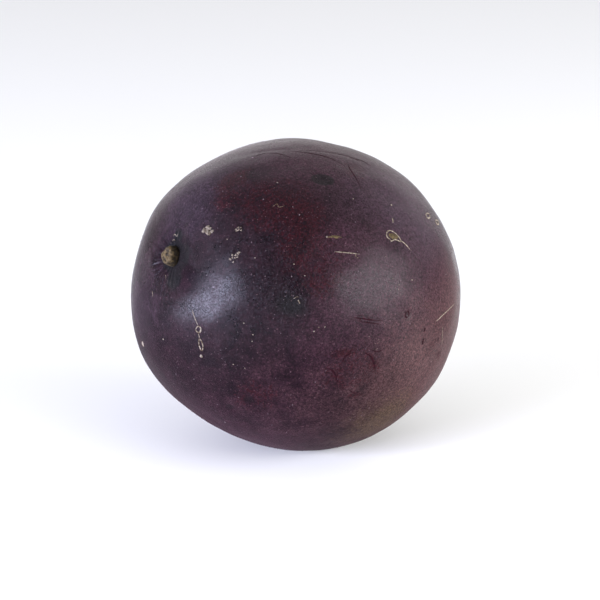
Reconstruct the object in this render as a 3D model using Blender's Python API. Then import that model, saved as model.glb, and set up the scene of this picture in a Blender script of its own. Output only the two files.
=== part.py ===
"""Passion fruit: one grown solid with its stem scar, lying on a small flat spot.

Frame: +Z up, origin at the bottom centre of the bounding box. The line from the blossom
end to the stem scar lies in the XZ plane, with the scar towards -X and tipped upwards.
A place on the fruit is given by its angle from the stem scar and its angle round the
stem line, where 0 is the upper side and 90 is the +Y side.
"""

import math

import bmesh
import bpy
from mathutils import Matrix, Vector

MM = 0.001

# Driving dimensions
LENGTH = 56.0 * MM
DIAMETER = 49.0 * MM
STEM_TIP_UP = math.radians(25.0)
REST_CUT = 0.75 * MM

# Stem end: a broad funnel, a narrow pit in its middle, and the button of the stem scar
FUNNEL_DEPTH = 1.4 * MM
FUNNEL_ANGLE = math.radians(15.0)
PIT_DEPTH = 0.8 * MM
PIT_RADIUS = 2.8 * MM
SCAR_HEIGHT = 1.3 * MM
SCAR_RADIUS = 1.7 * MM
SCAR_FLAT_SHARE = 0.45

# Blossom end: a shallow hollow with the small point that the flower leaves
BLOSSOM_DEPTH = 0.5 * MM
BLOSSOM_ANGLE = math.radians(12.0)
POINT_HEIGHT = 0.5 * MM
POINT_RADIUS = 1.3 * MM

# Mesh fineness
SEGMENTS = 56
BODY_RINGS = 30
WELD = 0.00001


class Swell:
    """A broad rise (or, with a negative height, a flattening) of the rind."""

    def __init__(self, from_stem_deg, round_stem_deg, height, spread_deg):
        self.centre = direction(math.radians(from_stem_deg), math.radians(round_stem_deg))
        self.height = height
        self.spread = math.radians(spread_deg)

    def rise_at(self, towards):
        """How far the rind stands out in this direction: a bell curve of the angle off the centre."""
        off = towards.angle(self.centre)
        return self.height * math.exp(-((off / self.spread) ** 2))


def direction(from_stem, round_stem):
    """Unit vector for an angle from the stem scar and an angle round the stem line."""
    flat = math.sin(from_stem)
    return Vector((flat * math.cos(round_stem), flat * math.sin(round_stem), math.cos(from_stem)))


def swells():
    """The two places where this fruit leaves a plain egg shape."""
    return (
        Swell(65.0, 137.0, 1.50 * MM, 25.0),
        Swell(130.0, -91.0, -1.55 * MM, 41.0),
    )


def smooth_fall(value, start, end):
    """1 before start, 0 after end, and an even S-curve between them."""
    share = min(max((end - value) / (end - start), 0.0), 1.0)
    return share * share * (3.0 - 2.0 * share)


def profile_radius(from_stem):
    """Distance from the fruit's middle to the rind, at an angle from the stem scar."""
    half_length = LENGTH / 2.0
    half_width = DIAMETER / 2.0
    egg = 1.0 / math.hypot(math.sin(from_stem) / half_width, math.cos(from_stem) / half_length)
    funnel = FUNNEL_DEPTH * math.exp(-((from_stem / FUNNEL_ANGLE) ** 2))
    from_scar = from_stem * half_length
    pit = PIT_DEPTH * math.exp(-((from_scar / PIT_RADIUS) ** 2))
    scar = SCAR_HEIGHT * smooth_fall(from_scar, SCAR_FLAT_SHARE * SCAR_RADIUS, SCAR_RADIUS)
    from_blossom = math.pi - from_stem
    hollow = BLOSSOM_DEPTH * math.exp(-((from_blossom / BLOSSOM_ANGLE) ** 2))
    point = POINT_HEIGHT * smooth_fall(from_blossom * half_length, 0.0, POINT_RADIUS)
    return egg - funnel - pit + scar - hollow + point


def profile_angles():
    """Angles from the stem scar for the rings: close together at the scar, pit and blossom point."""
    half_length = LENGTH / 2.0
    near_scar = [SCAR_RADIUS * share for share in (0.0, 0.3, 0.5, 0.65, 0.8, 0.92, 1.08, 1.4, 1.85, 2.4)]
    near_point = [POINT_RADIUS * share for share in (2.2, 1.3, 0.75, 0.35, 0.0)]
    first = near_scar[-1] / half_length
    last = math.pi - near_point[0] / half_length
    step = (last - first) / BODY_RINGS
    body = [first + step * ring for ring in range(1, BODY_RINGS)]
    ends = [math.pi - reach / half_length for reach in near_point]
    return [reach / half_length for reach in near_scar] + body + ends


def spun_body():
    """The profile spun once round the stem line, as a closed mesh with its poles merged."""
    mesh = bmesh.new()
    chain = []
    for angle in profile_angles():
        chain.append(mesh.verts.new(direction(angle, 0.0) * profile_radius(angle)))
    edges = [mesh.edges.new(pair) for pair in zip(chain, chain[1:])]
    bmesh.ops.spin(
        mesh,
        geom=chain + edges,
        cent=(0.0, 0.0, 0.0),
        axis=(0.0, 0.0, 1.0),
        angle=math.tau,
        steps=SEGMENTS,
        use_merge=True,
    )
    bmesh.ops.remove_doubles(mesh, verts=mesh.verts, dist=WELD)
    return mesh


def swell_out(mesh):
    """Moves each point of the rind along its own direction by the sum of the swells."""
    found = swells()
    for vert in mesh.verts:
        towards = vert.co.normalized()
        vert.co += towards * sum(swell.rise_at(towards) for swell in found)


def lay_down(mesh):
    """Turns the stem line from +Z to its lying position in the XZ plane."""
    turn = Matrix.Rotation(STEM_TIP_UP - math.pi / 2.0, 3, "Y")
    bmesh.ops.rotate(mesh, verts=mesh.verts, cent=(0.0, 0.0, 0.0), matrix=turn)


def cut_rest_spot(mesh):
    """Cuts a thin cap off the underside and closes it with one flat face."""
    lowest = min(vert.co.z for vert in mesh.verts)
    cut = bmesh.ops.bisect_plane(
        mesh,
        geom=mesh.verts[:] + mesh.edges[:] + mesh.faces[:],
        dist=WELD,
        plane_co=(0.0, 0.0, lowest + REST_CUT),
        plane_no=(0.0, 0.0, 1.0),
        clear_inner=True,
    )
    rim = [item for item in cut["geom_cut"] if isinstance(item, bmesh.types.BMEdge)]
    for edge in rim:
        edge.smooth = False
        for vert in edge.verts:
            vert.co.z = lowest + REST_CUT
    bmesh.ops.edgenet_fill(mesh, edges=rim)


def move_to_origin(mesh):
    """Puts the bottom centre of the bounding box at the origin."""
    middle = Vector()
    for axis in (0, 1):
        places = [vert.co[axis] for vert in mesh.verts]
        middle[axis] = (min(places) + max(places)) / 2.0
    middle.z = min(vert.co.z for vert in mesh.verts)
    bmesh.ops.translate(mesh, verts=mesh.verts, vec=-middle)


def rind_material():
    """Ripe purple rind: dark, slightly waxy and not metallic."""
    material = bpy.data.materials.new("purple_rind")
    material.use_nodes = True
    shader = material.node_tree.nodes["Principled BSDF"]
    shader.inputs["Base Color"].default_value = (0.032, 0.014, 0.022, 1.0)
    shader.inputs["Roughness"].default_value = 0.42
    shader.inputs["Metallic"].default_value = 0.0
    return material


def clear_scene():
    """Removes every object of the open scene."""
    for thing in list(bpy.data.objects):
        bpy.data.objects.remove(thing, do_unlink=True)


def build_fruit():
    """The whole fruit as one closed mesh object."""
    mesh = spun_body()
    swell_out(mesh)
    lay_down(mesh)
    cut_rest_spot(mesh)
    move_to_origin(mesh)
    bmesh.ops.recalc_face_normals(mesh, faces=mesh.faces)
    data = bpy.data.meshes.new("passion_fruit")
    mesh.to_mesh(data)
    mesh.free()
    data.shade_smooth()
    data.materials.append(rind_material())
    fruit = bpy.data.objects.new("passion_fruit", data)
    bpy.context.scene.collection.objects.link(fruit)
    return fruit


clear_scene()
build_fruit()
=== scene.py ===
"""A ripe purple passion fruit lying on a pale table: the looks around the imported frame.

The fruit grew as one piece, and its skin is one closed surface here. What lies on the skin
is modelled too: the stem scar in its funnel, the blossom point, healed scratches, corky
scabs, the small pale breathing spots and the thin creases where the rind has dried.

A place on the fruit is two angles in degrees: how far from the stem scar, and how far
round the stem line, where 0 is the upper side and 90 the +Y side. Lengths are in
millimetres until a mesh is made, and the frame is in metres with +Z up.
"""

import logging
import math
from dataclasses import dataclass, field
from enum import Enum
from functools import cached_property

import bmesh
import bpy
import numpy as np
from mathutils import Matrix, Quaternion, Vector


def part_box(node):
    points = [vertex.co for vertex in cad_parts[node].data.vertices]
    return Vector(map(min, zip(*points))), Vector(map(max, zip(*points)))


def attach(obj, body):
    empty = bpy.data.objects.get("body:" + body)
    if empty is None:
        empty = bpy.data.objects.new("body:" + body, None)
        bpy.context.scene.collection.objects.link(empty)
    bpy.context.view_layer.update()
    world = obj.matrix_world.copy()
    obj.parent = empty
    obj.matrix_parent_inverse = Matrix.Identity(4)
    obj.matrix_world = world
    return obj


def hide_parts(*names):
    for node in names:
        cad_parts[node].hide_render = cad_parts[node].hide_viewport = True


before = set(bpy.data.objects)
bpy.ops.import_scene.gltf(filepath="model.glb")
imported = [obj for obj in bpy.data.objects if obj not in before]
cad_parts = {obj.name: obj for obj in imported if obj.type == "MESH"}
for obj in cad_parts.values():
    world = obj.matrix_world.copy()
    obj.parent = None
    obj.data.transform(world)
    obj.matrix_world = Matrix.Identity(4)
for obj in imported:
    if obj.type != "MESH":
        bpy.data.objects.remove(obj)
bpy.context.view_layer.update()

MM = 0.001
PER_MM = 1000.0
ROOT = "root"
FRUIT_NODE = "passion_fruit"

# Numbers of a colour Mix node's sockets
MIX_FACTOR, MIX_A, MIX_B, MIX_RESULT = 0, 6, 7, 2
# How far a crumb's outline strays from an oval
CRUMB_RAGGEDNESS = 0.45
# Steps that a looped line has between two of its points
LOOP_FINENESS = 40

log = logging.getLogger("passion_fruit")


# ---------------------------------------------------------------- small tools


def colour(hex_code: str) -> tuple[float, float, float, float]:
    """Turns an sRGB hex colour into the linear values that a shader takes.

    Args:
        hex_code: six hex digits, such as "4a2c3c".

    Returns:
        Linear red, green, blue and an alpha of 1.
    """
    parts = np.array([int(hex_code[start:start + 2], 16) / 255.0 for start in (0, 2, 4)])
    linear = np.where(parts <= 0.04045, parts / 12.92, ((parts + 0.055) / 1.055) ** 2.4)
    return (*(float(part) for part in linear), 1.0)


def add_node(
    tree: bpy.types.NodeTree, kind: str, inputs: dict | None = None, **settings: object,
) -> bpy.types.Node:
    """Adds a node, sets its properties, and links or fills its inputs.

    Args:
        tree: the node tree to add to.
        kind: the node's type name.
        inputs: input name or number to a value, or to the output socket that feeds it.
        settings: properties of the node itself.

    Returns:
        The new node.
    """
    made = tree.nodes.new(kind)
    for name, value in settings.items():
        setattr(made, name, value)
    for name, value in (inputs or {}).items():
        if isinstance(value, bpy.types.NodeSocket):
            tree.links.new(value, made.inputs[name])
        else:
            made.inputs[name].default_value = value
    return made


def new_material(name: str) -> tuple[bpy.types.Material, bpy.types.NodeTree]:
    """Makes an empty node material that ends in an output node.

    Args:
        name: the material's name.

    Returns:
        The material and its node tree.
    """
    material = bpy.data.materials.new(name)
    material.use_nodes = True
    material.node_tree.nodes.clear()
    return material, material.node_tree


def close_material(tree: bpy.types.NodeTree, shader: bpy.types.Node) -> None:
    """Links a finished shader node to a new output node."""
    add_node(tree, "ShaderNodeOutputMaterial", {"Surface": shader.outputs["BSDF"]})


def new_piece(
    name: str, points_mm: np.ndarray, faces: list[list[int]], smooth: bool = True,
) -> bpy.types.Object:
    """Makes a mesh object from points in millimetres in the row frame.

    Args:
        name: the object's name.
        points_mm: an array of N rows of x, y, z.
        faces: vertex numbers, 3 or 4 to a face.
        smooth: whether faces are shaded smooth.

    Returns:
        The object, at the origin, unturned and unscaled.
    """
    mesh = bpy.data.meshes.new(name)
    mesh.from_pydata(points_mm * MM, [], faces)
    mesh.polygons.foreach_set("use_smooth", np.full(len(mesh.polygons), smooth))
    mesh.update()
    piece = bpy.data.objects.new(name, mesh)
    bpy.context.scene.collection.objects.link(piece)
    return piece


def put_attribute(piece: bpy.types.Object, name: str, values: np.ndarray) -> None:
    """Stores one number for each vertex under a name that a material reads."""
    layer = piece.data.attributes.new(name, "FLOAT", "POINT")
    layer.data.foreach_set("value", np.ascontiguousarray(values, dtype=np.float32))


def s_curve(value: np.ndarray, start: float, end: float) -> np.ndarray:
    """0 up to start, 1 from end, and 3x squared minus 2x cubed of the share between them."""
    share = np.clip((value - start) / (end - start), 0.0, 1.0)
    return share * share * (3.0 - 2.0 * share)


def hump(distance: np.ndarray, width: float) -> np.ndarray:
    """Bell curve: e to minus the square of distance over width."""
    return np.exp(-((distance / width) ** 2))


@dataclass(frozen=True)
class Ripples:
    """Smooth unevenness in space: plane sine waves added up, each in its own seeded direction."""

    wavelength_mm: float
    seed: int
    waves: int = 18

    def at(self, points_mm: np.ndarray) -> np.ndarray:
        """Values of about -1 to 1: the mean of the sines times the root of half their number.

        Args:
            points_mm: N rows of x, y, z.

        Returns:
            N values.
        """
        draw = np.random.default_rng(self.seed)
        directions = draw.normal(size=(self.waves, 3))
        directions /= np.linalg.norm(directions, axis=1, keepdims=True)
        lengths = self.wavelength_mm * draw.uniform(0.75, 1.4, self.waves)
        phases = draw.uniform(0.0, math.tau, self.waves)
        turns = points_mm @ (directions / lengths[:, None]).T * math.tau + phases
        return np.sin(turns).sum(axis=1) / math.sqrt(self.waves * 2.0)


# ---------------------------------------------------------------- the fruit's form


@dataclass(frozen=True)
class Spot:
    """A place on the fruit, in degrees from the stem scar and round the stem line."""

    away: float
    round: float

    def direction(self) -> np.ndarray:
        """Unit vector from the fruit's middle, before the fruit is laid down."""
        return directions_at(np.radians([self.away]), np.radians([self.round]))[0]

    def offsets(
        self, towards: np.ndarray, radius_mm: float, turn_deg: float = 0.0,
    ) -> tuple[np.ndarray, np.ndarray]:
        """Where directions lie about this place: the angle off it times the radius, along two turned axes.

        Args:
            towards: N unit vectors.
            radius_mm: what turns an angle into a length.
            turn_deg: how far the axes are turned from round and away.

        Returns:
            N lengths round the stem line and N away from the scar, in millimetres.
        """
        middle = self.direction()
        turn = math.radians(self.round)
        east = np.array([-math.sin(turn), math.cos(turn), 0.0])
        outward = np.cross(east, middle)
        facing = towards @ middle
        off = np.arccos(np.clip(facing, -1.0, 1.0)) * radius_mm
        scale = off / np.maximum(np.sqrt(np.clip(1.0 - facing**2, 0.0, 1.0)), 1e-6)
        x, y = (towards @ east) * scale, (towards @ outward) * scale
        cosine, sine = math.cos(math.radians(turn_deg)), math.sin(math.radians(turn_deg))
        return x * cosine + y * sine, y * cosine - x * sine


def directions_at(away: np.ndarray, round_: np.ndarray) -> np.ndarray:
    """Unit vectors for angles in radians: sine of away times cosine and sine of round, cosine of away."""
    flat = np.sin(away)
    return np.stack([flat * np.cos(round_), flat * np.sin(round_), np.cos(away)], axis=-1)


@dataclass(frozen=True)
class Swell:
    """A broad rise of the rind, or with a negative height a flattening."""

    spot: Spot
    height_mm: float
    spread_deg: float

    def rise(self, towards: np.ndarray) -> np.ndarray:
        """Bell curve of the angle between each direction and the swell's middle."""
        off = np.degrees(np.arccos(np.clip(towards @ self.spot.direction(), -1.0, 1.0)))
        return self.height_mm * hump(off, self.spread_deg)


@dataclass(frozen=True)
class Dent:
    """A small oval hollow, or with a positive height a small rise."""

    spot: Spot
    height_mm: float
    half_round_mm: float
    half_away_mm: float
    turn_deg: float = 0.0

    def rise(self, towards: np.ndarray, mean_radius_mm: float) -> np.ndarray:
        """Bell curve of the distance from the middle in half-widths.

        Args:
            towards: N unit vectors.
            mean_radius_mm: what turns an angle into a length.

        Returns:
            N heights in millimetres.
        """
        x, y = self.spot.offsets(towards, mean_radius_mm, self.turn_deg)
        return self.height_mm * hump(np.hypot(x / self.half_round_mm, y / self.half_away_mm), 1.0)


@dataclass(frozen=True)
class Fold:
    """A ridge (positive height) or a groove (negative) that runs over the skin through a few places."""

    route: tuple[tuple[float, float], ...]
    height_mm: float
    width_mm: float

    def rise(self, towards: np.ndarray, mean_radius_mm: float) -> np.ndarray:
        """Bell curve of the distance to the route, fading to nothing at both of its ends.

        Args:
            towards: N unit vectors.
            mean_radius_mm: what turns an angle into a length.

        Returns:
            N heights in millimetres.
        """
        course = smooth_route(np.array(self.route), 48)
        line = directions_at(np.radians(course[:, 0]), np.radians(course[:, 1]))
        near = np.clip(towards @ line.T, -1.0, 1.0)
        best = near.argmax(axis=1)
        distance = np.arccos(near.max(axis=1)) * mean_radius_mm
        share = best / (len(line) - 1.0)
        fade = s_curve(share, 0.0, 0.3) * (1.0 - s_curve(share, 0.7, 1.0))
        return self.height_mm * fade * hump(distance, self.width_mm)


def smooth_route(points: np.ndarray, count: int) -> np.ndarray:
    """Evenly numbered points on a Catmull-Rom curve through the given points.

    Each stretch is the cubic whose slope at a point is half the step between its two neighbours.

    Args:
        points: M rows, at least 2.
        count: how many rows to return.

    Returns:
        count rows of the same width.
    """
    first = 2.0 * points[0] - points[1]
    last = 2.0 * points[-1] - points[-2]
    padded = np.vstack([first, points, last])
    place = np.linspace(0.0, len(points) - 1.0, count)
    stretch = np.minimum(place.astype(int), len(points) - 2)
    share = (place - stretch)[:, None]
    before, start, end, after = (padded[stretch + step] for step in range(4))
    return 0.5 * (
        2.0 * start
        + (end - before) * share
        + (2.0 * before - 5.0 * start + 4.0 * end - after) * share**2
        + (3.0 * start - before - 3.0 * end + after) * share**3
    )


@dataclass(frozen=True)
class FruitForm:
    """The fruit's outer form: an egg with a funnel at the stem, swells, and the rind's own relief."""

    length_mm: float = 56.0
    width_mm: float = 49.0
    tip_up_deg: float = 25.0
    rest_cut_mm: float = 0.75
    rest_blend_mm: float = 0.25
    funnel_depth_mm: float = 1.4
    funnel_spread_deg: float = 15.0
    pit_depth_mm: float = 0.8
    pit_radius_mm: float = 2.8
    blossom_depth_mm: float = 0.5
    blossom_spread_deg: float = 12.0
    swells: tuple[Swell, ...] = (
        Swell(Spot(65.0, 137.0), 1.50, 25.0),
        Swell(Spot(130.0, -91.0), -1.55, 41.0),
    )
    dents: tuple[Dent, ...] = (
        # The shoulder of the funnel is flatter on its lower side
        Dent(Spot(24.9, -107.0), -0.55, 7.0, 9.0),
        # Shallow hollows on the half that the camera sees
        Dent(Spot(66.5, -76.0), -0.07, 2.6, 1.8, 20.0),
        Dent(Spot(79.0, -90.0), -0.06, 2.2, 2.6, -15.0),
        Dent(Spot(94.9, -79.2), -0.12, 0.7, 0.7),
        Dent(Spot(115.0, -88.0), -0.18, 1.4, 1.4),
        Dent(Spot(95.4, -79.2), -0.10, 0.7, 0.7),
        Dent(Spot(57.2, -138.5), -0.10, 1.0, 1.0),
        Dent(Spot(56.4, -149.8), -0.10, 0.8, 0.8),
        Dent(Spot(60.0, -29.0), -0.10, 1.1, 1.1),
        Dent(Spot(48.0, -89.5), -0.10, 1.8, 1.8),
        # Others of the same kind on the rest of the fruit
        Dent(Spot(70.0, 62.0), -0.16, 1.6, 1.6),
        Dent(Spot(104.0, 118.0), -0.14, 1.3, 1.3),
        Dent(Spot(128.0, 20.0), -0.16, 1.4, 1.4),
    )
    folds: tuple[Fold, ...] = (
        # Ridges on the lip of the funnel
        Fold(
            ((12.5, -86.0), (10.0, -70.0), (8.4, -51.0), (9.0, -35.0), (12.0, -18.0), (19.0, -6.0)),
            0.22, 0.85,
        ),
        Fold(((9.5, -120.0), (12.0, -104.0), (13.0, -88.0)), 0.04, 0.8),
        Fold(((8.0, 150.0), (10.0, 120.0), (12.0, 95.0)), 0.12, 0.6),
        # Grooves over the top and on the far side
        Fold(((41.0, 5.0), (47.0, 3.5), (51.5, 0.0), (55.0, -2.5), (62.0, -6.0)), -0.05, 0.45),
        Fold(((60.5, -6.0), (69.0, -10.0), (78.0, -13.5), (82.0, -18.0)), -0.05, 0.45),
        Fold(((52.0, 14.0), (62.0, 9.0), (74.0, 6.0)), -0.05, 0.5),
        Fold(((96.0, 40.0), (104.0, 30.0), (112.0, 24.0), (121.0, 22.0)), -0.10, 0.5),
        Fold(((62.0, 92.0), (74.0, 88.0), (88.0, 90.0)), -0.09, 0.5),
    )
    lumps: tuple[tuple[Ripples, float], ...] = (
        (Ripples(17.0, 3), 0.16),
        (Ripples(7.5, 11), 0.055),
        (Ripples(3.4, 23), 0.018),
    )
    pucker_count: int = 78
    pucker_depth_mm: float = 0.15
    pucker_side_rad: float = 2.2
    pucker_seed: int = 5
    pucker_reach_mm: tuple[float, float] = (4.0, 10.5)
    pucker_start_mm: tuple[float, float] = (1.2, 2.4)
    pucker_width_mm: float = 0.23
    pucker_bend_rad: float = 0.35
    pucker_bend_over_mm: float = 9.0
    pucker_zone_mm: float = 13.5
    calm_mm: tuple[float, float] = (1.0, 8.0)

    @property
    def mean_radius_mm(self) -> float:
        """What turns an angle on the fruit into a length along its skin."""
        return (self.length_mm + self.width_mm) / 4.0

    def plain_radius(self, away: np.ndarray, towards: np.ndarray) -> np.ndarray:
        """Middle-to-rind distance: an ellipse, less funnel, pit and blossom hollow, plus the swells.

        Args:
            away: angles from the stem scar in radians.
            towards: the matching unit vectors.

        Returns:
            Distances in millimetres.
        """
        half_length = self.length_mm / 2.0
        half_width = self.width_mm / 2.0
        radius = 1.0 / np.hypot(np.sin(away) / half_width, np.cos(away) / half_length)
        radius -= self.funnel_depth_mm * hump(np.degrees(away), self.funnel_spread_deg)
        radius -= self.pit_depth_mm * hump(away * half_length, self.pit_radius_mm)
        radius -= self.blossom_depth_mm * hump(180.0 - np.degrees(away), self.blossom_spread_deg)
        return radius + sum(swell.rise(towards) for swell in self.swells)

    def puckers(self, away: np.ndarray, round_: np.ndarray) -> np.ndarray:
        """Fine gathers that run out from the stem scar: a row of bells round it, each with its own reach.

        Args:
            away: angles from the stem scar in radians.
            round_: angles round the stem line in radians.

        Returns:
            Heights in millimetres, none above 0.
        """
        draw = np.random.default_rng(self.pucker_seed)
        count = self.pucker_count
        at = (np.arange(count) + draw.uniform(-0.4, 0.4, count)) * math.tau / count
        reach = draw.uniform(*self.pucker_reach_mm, count)
        depth = draw.uniform(0.3, 1.0, count) * (0.6 + 0.4 * np.cos(at - self.pucker_side_rad))
        bend = draw.uniform(-self.pucker_bend_rad, self.pucker_bend_rad, count)
        arc = away * self.length_mm / 2.0
        turn = round_[:, None] - at - bend * (arc[:, None] / self.pucker_bend_over_mm)
        turn = np.abs(np.angle(np.exp(1j * turn)))
        across = turn * np.sin(away)[:, None] * self.length_mm / 2.0
        started = s_curve(arc[:, None], *self.pucker_start_mm)
        along = started * (1.0 - np.clip(arc[:, None] / reach, 0.0, 1.0)) ** 0.7
        return -self.pucker_depth_mm * (depth * along * hump(across, self.pucker_width_mm)).sum(axis=1)

    def relief(self, away: np.ndarray, round_: np.ndarray, towards: np.ndarray) -> np.ndarray:
        """Height of the small shapes of the rind: lumps, dents, folds and the gathers at the stem.

        Args:
            away: angles from the stem scar in radians.
            round_: angles round the stem line in radians.
            towards: the matching unit vectors.

        Returns:
            Heights in millimetres.
        """
        calm = s_curve(away * self.mean_radius_mm, *self.calm_mm)
        ball = towards * self.mean_radius_mm
        height = sum(size * ripples.at(ball) for ripples, size in self.lumps) * calm
        height += sum(dent.rise(towards, self.mean_radius_mm) for dent in self.dents)
        height += sum(fold.rise(towards, self.mean_radius_mm) for fold in self.folds)
        near = away * self.length_mm / 2.0 < self.pucker_zone_mm
        height[near] += self.puckers(away[near], round_[near])
        return height

    def laid_down(self, local: np.ndarray) -> np.ndarray:
        """Turns the stem line from +Z to where it lies: about Y, by tip-up less a right angle.

        Args:
            local: rows of x, y, z with the stem line along +Z.

        Returns:
            The same rows, turned.
        """
        turn = math.radians(self.tip_up_deg - 90.0)
        cosine, sine = math.cos(turn), math.sin(turn)
        x, y, z = local[..., 0], local[..., 1], local[..., 2]
        return np.stack([x * cosine + z * sine, y, z * cosine - x * sine], axis=-1)

    @cached_property
    def shift_mm(self) -> np.ndarray:
        """What moves the laid form into the frame: its box's middle goes to the CAD box's middle.

        Returns:
            The shift in x, y and z, in millimetres.
        """
        away, round_ = np.meshgrid(np.linspace(0.0, math.pi, 181), np.linspace(0.0, math.tau, 241))
        away, round_ = away.ravel(), round_.ravel()
        towards = directions_at(away, round_)
        points = self.laid_down(towards * self.plain_radius(away, towards)[:, None])
        low, high = points.min(axis=0), points.max(axis=0)
        cad_low, cad_high = (np.array(corner) * PER_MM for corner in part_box(FRUIT_NODE))
        shift = (cad_low + cad_high - low - high) / 2.0
        shift[2] = cad_low[2] - low[2] - self.rest_cut_mm
        return shift

    def flattened(self, points: np.ndarray) -> np.ndarray:
        """Presses the underside on to z = 0, with a quadratic bend in from the free skin.

        Args:
            points: rows of x, y, z in the row frame.

        Returns:
            The same rows, none of them below the table.
        """
        blend = self.rest_blend_mm
        height = points[..., 2]
        bend = (height + blend) ** 2 / (4.0 * blend)
        pressed = np.where(height < -blend, 0.0, np.where(height > blend, height, bend))
        return np.stack([points[..., 0], points[..., 1], pressed], axis=-1)

    def skin(self, away: np.ndarray, round_: np.ndarray, lift: np.ndarray | float = 0.0) -> np.ndarray:
        """Points on the finished skin, or at a height off it, in the row frame.

        Args:
            away: angles from the stem scar in radians.
            round_: angles round the stem line in radians.
            lift: height above the skin in millimetres.

        Returns:
            Rows of x, y, z in millimetres.
        """
        towards = directions_at(away, round_)
        radius = self.plain_radius(away, towards) + self.relief(away, round_, towards) + lift
        return self.flattened(self.laid_down(towards * radius[:, None]) + self.shift_mm)


FORM = FruitForm()


# ---------------------------------------------------------------- finishes


class Tint(Enum):
    """The ways in which the rind's colour leaves plain purple. Each is an attribute of the skin."""

    FLUSH = "flush"
    ROSE = "rose"
    OCHRE = "ochre"
    MOSS_AND_SHADE = "moss_and_shade"
    DUSK_AND_SHADE = "dusk_and_shade"
    BLOOM = "bloom_and_sheen"
    PLUM = "plum"
    DULL = "dull"


@dataclass(frozen=True)
class Stain:
    """A soft-edged oval patch of one tint."""

    tint: Tint
    spot: Spot
    half_round_mm: float
    half_away_mm: float
    turn_deg: float = 0.0
    strength: float = 1.0
    softness: float = 0.6

    def cover(self, towards: np.ndarray, mean_radius_mm: float) -> np.ndarray:
        """Cover of 0 to strength: an S-curve of the distance from the middle in half-widths.

        Args:
            towards: N unit vectors.
            mean_radius_mm: what turns an angle into a length.

        Returns:
            N values.
        """
        x, y = self.spot.offsets(towards, mean_radius_mm, self.turn_deg)
        reach = np.hypot(x / self.half_round_mm, y / self.half_away_mm)
        return self.strength * (1.0 - s_curve(reach, 1.0 - self.softness, 1.0 + self.softness))


@dataclass(frozen=True)
class Patch:
    """How one tint lies on the rind: its colour, its cover, and how mottle and streaks break its edge."""

    tint: Tint
    hex_code: str
    opacity: float
    by_mottle: float
    by_streak: float
    start: float = 0.15
    end: float = 0.85


RIND_PATCHES = (
    Patch(Tint.PLUM, "2a1820", 0.95, 0.7, 0.7, 0.0, 1.0),
    Patch(Tint.ROSE, "402c2d", 0.9, 0.7, 0.9, 0.0, 1.0),
    Patch(Tint.OCHRE, "392e21", 0.9, 1.0, 1.6, 0.0, 1.0),
    # Pale bluish wax, which on the upper side and the left also paints a sheen of the light from above
    Patch(Tint.BLOOM, "2f2530", 0.9, 0.6, 0.4, 0.0, 1.0),
    Patch(Tint.FLUSH, "20060a", 0.85, 2.0, 6.5, 0.15, 1.35),
    # Dark green-grey and darker blots: the rind's own colour, plus painted shade round the stem scar and in
    # small dents
    Patch(Tint.MOSS_AND_SHADE, "0e1010", 0.9, 0.6, 0.5, 0.2, 0.8),
    Patch(Tint.DUSK_AND_SHADE, "0e090c", 0.9, 0.7, 0.5, 0.2, 0.8),
)


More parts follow.
